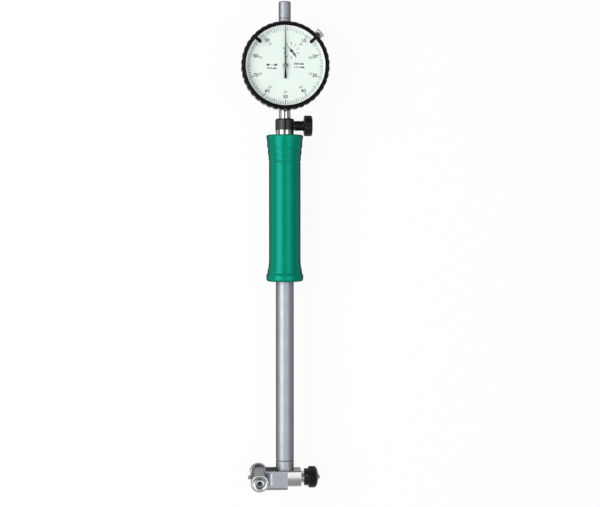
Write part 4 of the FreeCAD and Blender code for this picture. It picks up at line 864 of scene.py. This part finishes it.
class MakeBezel(Step, Operator):
    """Build the scalloped bezel, the crystal, the white ring under it and the limit markers"""

    bl_idname = "bore_gauge.bezel"
    bl_label = "Bezel"

    def execute(self, context):
        sizes, _ = settings(context)
        radius = BEZEL_RADIUS
        back = BEZEL_LOW.z
        front = BEZEL_HIGH.z
        lip = front - 0.6
        bore = radius - 2.39
        step = WINDOW_RADIUS + 1.1
        cutter = 1.5
        rim = turned(
            [(bore, back), (radius - 0.5, back), (radius, back + 0.5), (radius, front - 2.6, 0.4),
             (radius - 0.45, front - 1.1, 0.5), (radius - 1.5, front, 0.2), (step, front, 0.1), (step, lip, 0.05),
             (WINDOW_RADIUS, lip, 0.15), (WINDOW_RADIUS, CRYSTAL_HIGH.z), (bore, CRYSTAL_HIGH.z)], "z", DIAL,
            soft=0.1, segments=sizes.scallops * 12,
            limit=fluted(sizes.scallops, radius + cutter - mm(sizes.scallop_depth), cutter))
        add_piece("bezel_rim", rim, "bezel_black", "bezel", ["bezel"])
        add_piece("window", turned(
            [(0, CRYSTAL_LOW.z), (CRYSTAL_RADIUS, CRYSTAL_LOW.z), (CRYSTAL_RADIUS, CRYSTAL_HIGH.z),
             (0, CRYSTAL_HIGH.z)], "z", DIAL, soft=0.05), "clear", "bezel", ["crystal"])
        foot = WINDOW_RADIUS - 1.1
        add_piece("inner_ring", turned(
            [(foot, DIAL_FACE), (CRYSTAL_RADIUS, DIAL_FACE), (CRYSTAL_RADIUS, CRYSTAL_LOW.z),
             (WINDOW_RADIUS, CRYSTAL_LOW.z), (foot, DIAL_FACE + 0.3)], "z", DIAL, soft=0.04,
            segments=sizes.segments * 2), "ring_white", "bezel", ["spacer_ring"])
        low, high = extent("limit_marker_left")
        height = high.z - low.z
        inner = WINDOW_RADIUS + 0.05
        outer = step - 0.05
        tip = 22.3
        wide = 1.1
        foot_half = 2.6
        for name, turn in (("left", MARKER_TURN), ("right", -MARKER_TURN)):
            blade = plate(
                [(-wide, inner + 0.4), (-wide, tip), (wide, tip), (wide, inner + 0.4)], height, 0.08,
                rounded=[(1, wide - 0.02), (2, wide - 0.02)])
            foot_ring = bmesh.new()
            section = [foot_ring.verts.new((0, y, z)) for y, z in
                       ((inner, 0), (outer, 0), (outer, height), (inner, height))]
            section_face = foot_ring.faces.new(section)
            half = foot_half / outer
            foot_ring.transform(Matrix.Rotation(-half, 4, "Z"))
            bmesh.ops.spin(foot_ring, geom=[section_face, *foot_ring.edges[:], *foot_ring.verts[:]], cent=(0, 0, 0),
                           axis=(0, 0, 1), dvec=(0, 0, 0), angle=2 * half, steps=16)
            bmesh.ops.recalc_face_normals(foot_ring, faces=foot_ring.faces)
            marker = moved(joined(foot_ring, blade), placed(DIAL + Vector((0, 0, low.z)), turn))
            add_piece(f"marker_{name}", marker, "marker_black", f"marker_{name}", [f"limit_marker_{name}"])
        return {"FINISHED"}


class MakeBezelScrew(Step, Operator):
    """Build the thumb screw and the shoe that lock the bezel"""

    bl_idname = "bore_gauge.bezel_screw"
    bl_label = "Bezel Screw"

    def execute(self, context):
        start = BEZEL_RADIUS + 1.25
        end = start + 3.4
        knob = 3.3
        grooves = 24
        thread = 1.2
        screw = turned(
            [(0, 24.6), (thread, 24.6), (thread, start), (knob - 1.0, start), (knob - 0.75, start + 0.4),
             (knob, end - 1.0), (knob, end - 0.3), (knob - 0.3, end), (0, end)], "y", soft=0.1, segments=grooves * 8,
            limit=grooved(grooves, knob, knob - 0.28))
        place = placed(DIAL + Vector((0, 0, 1)), -SCREW_TURN)
        add_piece("bezel_lock_screw", moved(screw, place), "bright_chrome", "bezel_screw", ["bezel_clamp_screw"])
        shoe = box((-3, 3), (26.3, start - 0.05), (-2.6, 3.95), soft=0.25)
        shoe = cut(shoe, rod(27.8, (0, 0, -4), 10), rod(thread + RUN, (0, 20, 0), 15, "y", 48))
        add_piece("bezel_lock_shoe", moved(shoe, place), "black_steel", "shoe", ["bezel_clamp_shoe"])
        return {"FINISHED"}


def lettering(text, height, at, weight=0.025):
    """A flat word or number, centred on a place of the dial, as a thin closed mesh in millimetres."""
    curve = bpy.data.curves.new("letters", "FONT")
    curve.body = text
    curve.align_x = "CENTER"
    curve.align_y = "CENTER"
    curve.size = height * 1.4
    curve.offset = height * weight
    curve.extrude = 0.01
    curve.resolution_u = 3
    holder = linked("letters", curve)
    mesh = bpy.data.meshes.new_from_object(holder.evaluated_get(bpy.context.evaluated_depsgraph_get()))
    bpy.data.objects.remove(holder)
    bpy.data.curves.remove(curve)
    shape = bmesh.new()
    shape.from_mesh(mesh)
    bpy.data.meshes.remove(mesh)
    bmesh.ops.remove_doubles(shape, verts=shape.verts, dist=1e-6)
    shape.transform(Matrix.Translation(at))
    return shape


def mark(length, width, height):
    """One printed line along Y, centred on its middle."""
    return box(*[(-side / 2, side / 2) for side in (width, length, height)])


def round_dial(radius, clockwise_turn):
    """A point on a circle, by its turn clockwise from the top."""
    return Vector((radius * math.sin(clockwise_turn), radius * math.cos(clockwise_turn), 0))


def graduation(centre, radius, turn, length, width, height):
    """A printed line across a circle round centre."""
    return moved(mark(length, width, height), placed(centre + round_dial(radius, turn), -turn))


class MakeDial(Step, Operator):
    """Build the dial faces with their graduations and numbers"""

    bl_idname = "bore_gauge.dial"
    bl_label = "Dial"

    def execute(self, context):
        sizes, _ = settings(context)
        split = 17.0
        fine = sizes.segments * 2
        low = SCALE_LOW.z
        add_piece("scale_plate", turned(
            [(split + 0.03, low), (CRYSTAL_RADIUS, low), (CRYSTAL_RADIUS, DIAL_FACE), (split + 0.03, DIAL_FACE)], "z",
            DIAL, soft=0.03, segments=fine), "dial_face", "bezel", ["scale_ring"])
        middle_plate = turned([(0.0, low), (split, low), (split, DIAL_FACE), (0, DIAL_FACE)], "z", DIAL, soft=0.03,
                              segments=fine)
        middle_plate = cut(middle_plate, rod(1.0, DIAL + Vector((0, 0, low - 1)), 3, segments=32),
                           rod(0.8, COUNTER + Vector((0, 0, low - 1)), 3, segments=32))
        add_piece("middle_plate", middle_plate, "dial_face", "gauge", ["centre_dial"])

        ink = mm(sizes.print_height)
        above = Vector((0, 0, DIAL_FACE + ink / 2))
        scale = DIAL + above
        scale_edge, figure_circle, reverse_circle = 25.9, 21.0, 17.9
        counter_circle, counter_ticks = 5.1, 3.75
        lines = []
        for index in range(100):
            length, width = (3.0, 0.42) if index % 10 == 0 else (2.6, 0.34) if index % 5 == 0 else (2.0, 0.26)
            lines.append(graduation(scale, scale_edge - length / 2, WHOLE_TURN * index / 100, length, width, ink))
        figure = mm(sizes.numeral_height)
        tens = [(index * 10, WHOLE_TURN * index / 10) for index in range(1, 10)]
        figures = [lettering(str(ten), figure, scale + round_dial(figure_circle, turn)) for ten, turn in tens]
        add_piece("scale_print", merged(lines + figures), "print_black", "bezel")
        reverse = [lettering(str(100 - ten), figure * 0.66, scale + round_dial(reverse_circle, turn))
                   for ten, turn in tens]
        add_piece("reverse_print", merged(reverse), "print_red", "bezel")

        marks = []
        for index in range(10):
            turn = WHOLE_TURN * index / 10
            marks.append(lettering(str(index), 1.25, COUNTER + above + round_dial(counter_circle, turn), 0.04))
            marks.append(graduation(COUNTER + above, counter_ticks, turn, 0.8, 0.3, ink))
        sign = scale + Vector((-9.2, 0.65, 0))
        for side in (-1, 1):
            arrow = plate([(side * 1.2, 0), (-side * 1.1, 1.0), (-side * 1.1, -1.0)], ink)
            marks.append(moved(arrow, placed(sign + Vector((side * 3.0, 0, -ink / 2)))))
            marks.append(moved(mark(1.2, 0.3, ink), placed(sign + Vector((side * 1.6, 0, 0)), QUARTER_TURN)))
        marks.append(lettering("+", 1.3, sign))
        for text, height, place, weight in (
                ("0-10 mm", 1.25, (-9.2, -1.7, 0), 0.07), ("0.01 mm", 1.3, (9.4, 1.4, 0), 0.08),
                ("1 = 1 mm", 1.3, (9.4, -0.9, 0), 0.08)):
            marks.append(lettering(text, height, scale + Vector(place), weight))
        add_piece("middle_print", merged(marks), "print_black", "gauge")
        return {"FINISHED"}


class MakeHands(Step, Operator):
    """Build the long hand, its hub and the revolution counter's hand"""

    bl_idname = "bore_gauge.hands"
    bl_label = "Hands"

    def execute(self, context):
        tip = HAND_HIGH.y - DIAL.y
        tail = HAND_LOW.y - DIAL.y
        thickness = HAND_HIGH.z - HAND_LOW.z
        blade = plate([(-0.2, tip), (-0.45, 1.5), (-0.45, -1.5), (-0.75, tail), (0.75, tail), (0.45, -1.5),
                       (0.45, 1.5), (0.2, tip)], thickness, 0.04)
        hand = joined(blade, rod(1.3, (0, 0, 0), thickness, segments=48))
        hand = cut(hand, rod(0.51, (0, 0, -1), 3, segments=32))
        add_piece("long_hand", moved(hand, placed(DIAL + Vector((0, 0, HAND_LOW.z)))), "hand_black", "hand_arbor",
                  ["main_hand"])
        low, high = extent("hand_hub")
        add_piece("hub", turned(
            [(0, high.z), (0.7, high.z, 0.3), (1.45, high.z - 0.2, 0.2), (1.6, low.z + 0.2), (1.6, low.z + 0.3),
             (1.6, HAND_HIGH.z), (0.51, HAND_HIGH.z), (0.51, HAND_LOW.z + 0.5), (0, HAND_LOW.z + 0.5)], "z", DIAL,
            soft=0.03, segments=64), "hub_steel", "hand_arbor", ["hand_hub"])
        outline = [(-0.08, 4.1), (-0.16, 1.1), (-0.75, 0.0), (-0.36, -1.0), (-0.42, -4.4), (0.42, -4.4),
                   (0.36, -1.0), (0.75, 0.0), (0.16, 1.1), (0.08, 4.1)]
        thickness = COUNTER_HIGH.z - COUNTER_LOW.z
        counter = joined(plate(outline, thickness, 0.03), rod(0.85, (0, 0, 0), thickness + 0.12, segments=32))
        place = placed(COUNTER + Vector((0, 0, COUNTER_LOW.z)), math.radians(40))
        add_piece("counter_hand", moved(counter, place), "hand_black", "hair_arbor", ["small_hand"])
        return {"FINISHED"}


CAMERA_PLACE = Vector((-0.0394, 0.025, 0.8704))
CAMERA_AIM = Vector((0.01055, -0.0049, 0.0204))
FOCAL_LENGTH = 73.8
TABLE_GLOW = 0.93       # share of a camera or mirror ray that sees the table as plain white
WALL_TONE = (0.3, 0.302, 0.305, 1)
BACKDROP = (            # place from one side to the other, and how bright the upper studio is there
    (0.0, 0.36), (0.42, 0.44), (0.475, 0.25), (1.0, 0.2),
)
LAMPS = (               # name, degrees from upright, distance, width, length, place along Y, watts
    ("left softbox", -43, 1.0, 0.7, 1.1, 0.0, 9.3),
    ("right softbox", 27, 1.0, 0.55, 1.1, 0.0, 3.2),
    ("front softbox", 3, 0.85, 0.32, 0.131, -0.2787, 0.15),
)


class MakeStudio(Step, Operator):
    """Set the pale table, the soft lights and the camera"""

    bl_idname = "bore_gauge.studio"
    bl_label = "Studio"

    def execute(self, context):
        scene = context.scene
        scene.view_settings.view_transform = "Standard"
        table = bmesh.new()
        bmesh.ops.create_grid(table, x_segments=1, y_segments=1, size=30)
        top = held("table", table)
        top.data.materials.append(table_finish())
        scene.world = bpy.data.worlds.new("studio")
        scene.world.use_nodes = True
        tree = scene.world.node_tree
        direction = add_node(tree, "ShaderNodeTexCoord").outputs["Generated"]
        split = add_node(tree, "ShaderNodeSeparateXYZ", Vector=direction)
        across = add_node(tree, "ShaderNodeMapRange", Value=split.outputs["Y"], From_Min=-1)
        ramp = add_node(tree, "ShaderNodeValToRGB", Fac=across.outputs["Result"])
        tones = ramp.color_ramp.elements
        for place, _ in BACKDROP[1:-1]:
            tones.new(place)
        for tone, (_, level) in zip(tones, BACKDROP):
            tone.color = (level * 0.985, level * 0.99, level, 1)
        height = add_node(tree, "ShaderNodeMapRange", Value=split.outputs["Z"], From_Min=0.3, From_Max=0.5)
        sky = colour_between(tree, height.outputs["Result"], WALL_TONE, ramp.outputs["Color"])
        feed(tree, tree.nodes["Background"].inputs["Color"], sky)
        for name, turn, reach, width, length, along, power in LAMPS:
            lamp = bpy.data.lights.new(name, "AREA")
            lamp.shape = "RECTANGLE"
            lamp.size, lamp.size_y = width, length
            lamp.energy = power
            holder = linked(name, lamp)
            side = math.radians(turn)
            holder.location = (reach * math.sin(side), along, 0.02 + reach * math.cos(side))
            holder.rotation_euler = (0, side, 0)
            holder.visible_camera = False
        lens = bpy.data.cameras.new("camera")
        lens.lens = FOCAL_LENGTH
        camera = linked("camera", lens)
        camera.location = CAMERA_PLACE
        back = (camera.location - CAMERA_AIM).normalized()
        right = Vector((0, 1, 0)).cross(back).normalized()
        camera.rotation_euler = Matrix((right, back.cross(right), back)).transposed().to_euler()
        scene.camera = camera
        return {"FINISHED"}


def table_finish():
    """Matt white table top that the camera and the polished metal see as near white, with its shadows kept."""
    finish = Finish("table_white", (0.9, 0.9, 0.9))
    finish.vary_roughness(finish.noise(3), 0.8, 0.9)
    tree = finish.tree
    paths = tree.nodes.new("ShaderNodeLightPath").outputs
    value = paths["Is Camera Ray"]
    for operation, other in (("MAXIMUM", paths["Is Glossy Ray"]), ("MAXIMUM", paths["Is Transmission Ray"]),
                             ("MULTIPLY", TABLE_GLOW)):
        step = finish.node("ShaderNodeMath", Value=value)
        step.operation = operation
        feed(tree, step.inputs[1], other)
        value = step.outputs["Value"]
    glow = finish.node("ShaderNodeEmission", Color=(1, 1, 1, 1), Strength=1.0)
    mix = tree.nodes.new("ShaderNodeMixShader")
    for socket, source in zip(mix.inputs, (value, finish.shader.outputs["BSDF"], glow.outputs["Emission"])):
        feed(tree, socket, source)
    feed(tree, tree.nodes["Material Output"].inputs["Surface"], mix.outputs["Shader"])
    return finish.material


class GaugePanel(Panel):
    """Lists the steps that build the gauge"""

    bl_idname = "VIEW3D_PT_bore_gauge"
    bl_label = "Dial Bore Gauge"
    bl_space_type = "VIEW_3D"
    bl_region_type = "UI"
    bl_category = "Bore Gauge"

    def draw(self, context):
        for group in settings(context):
            for name in group.__annotations__:
                self.layout.prop(group, name)
        for step in STEPS:
            self.layout.operator(step.bl_idname)


STEPS = (MakeFinishes, MakeHead, MakeContact, MakeAnvil, MakeBridge, MakeWheels, MakeStem, MakeGrip, MakeClamp,
         MakeHousing, MakeBezel, MakeBezelScrew, MakeDial, MakeHands, MakeStudio)
CLASSES = (GaugeSizes, GaugeFinishes, *STEPS, GaugePanel)


def register():
    for item in CLASSES:
        bpy.utils.register_class(item)
    bpy.types.Scene.gauge_sizes = PointerProperty(type=GaugeSizes)
    bpy.types.Scene.gauge_finishes = PointerProperty(type=GaugeFinishes)


def unregister():
    del bpy.types.Scene.gauge_finishes
    del bpy.types.Scene.gauge_sizes
    for item in reversed(CLASSES):
        bpy.utils.unregister_class(item)


def main():
    register()
    for step in STEPS:
        family, name = step.bl_idname.split(".")
        getattr(getattr(bpy.ops, family), name)()


if __name__ == "__main__":
    main()
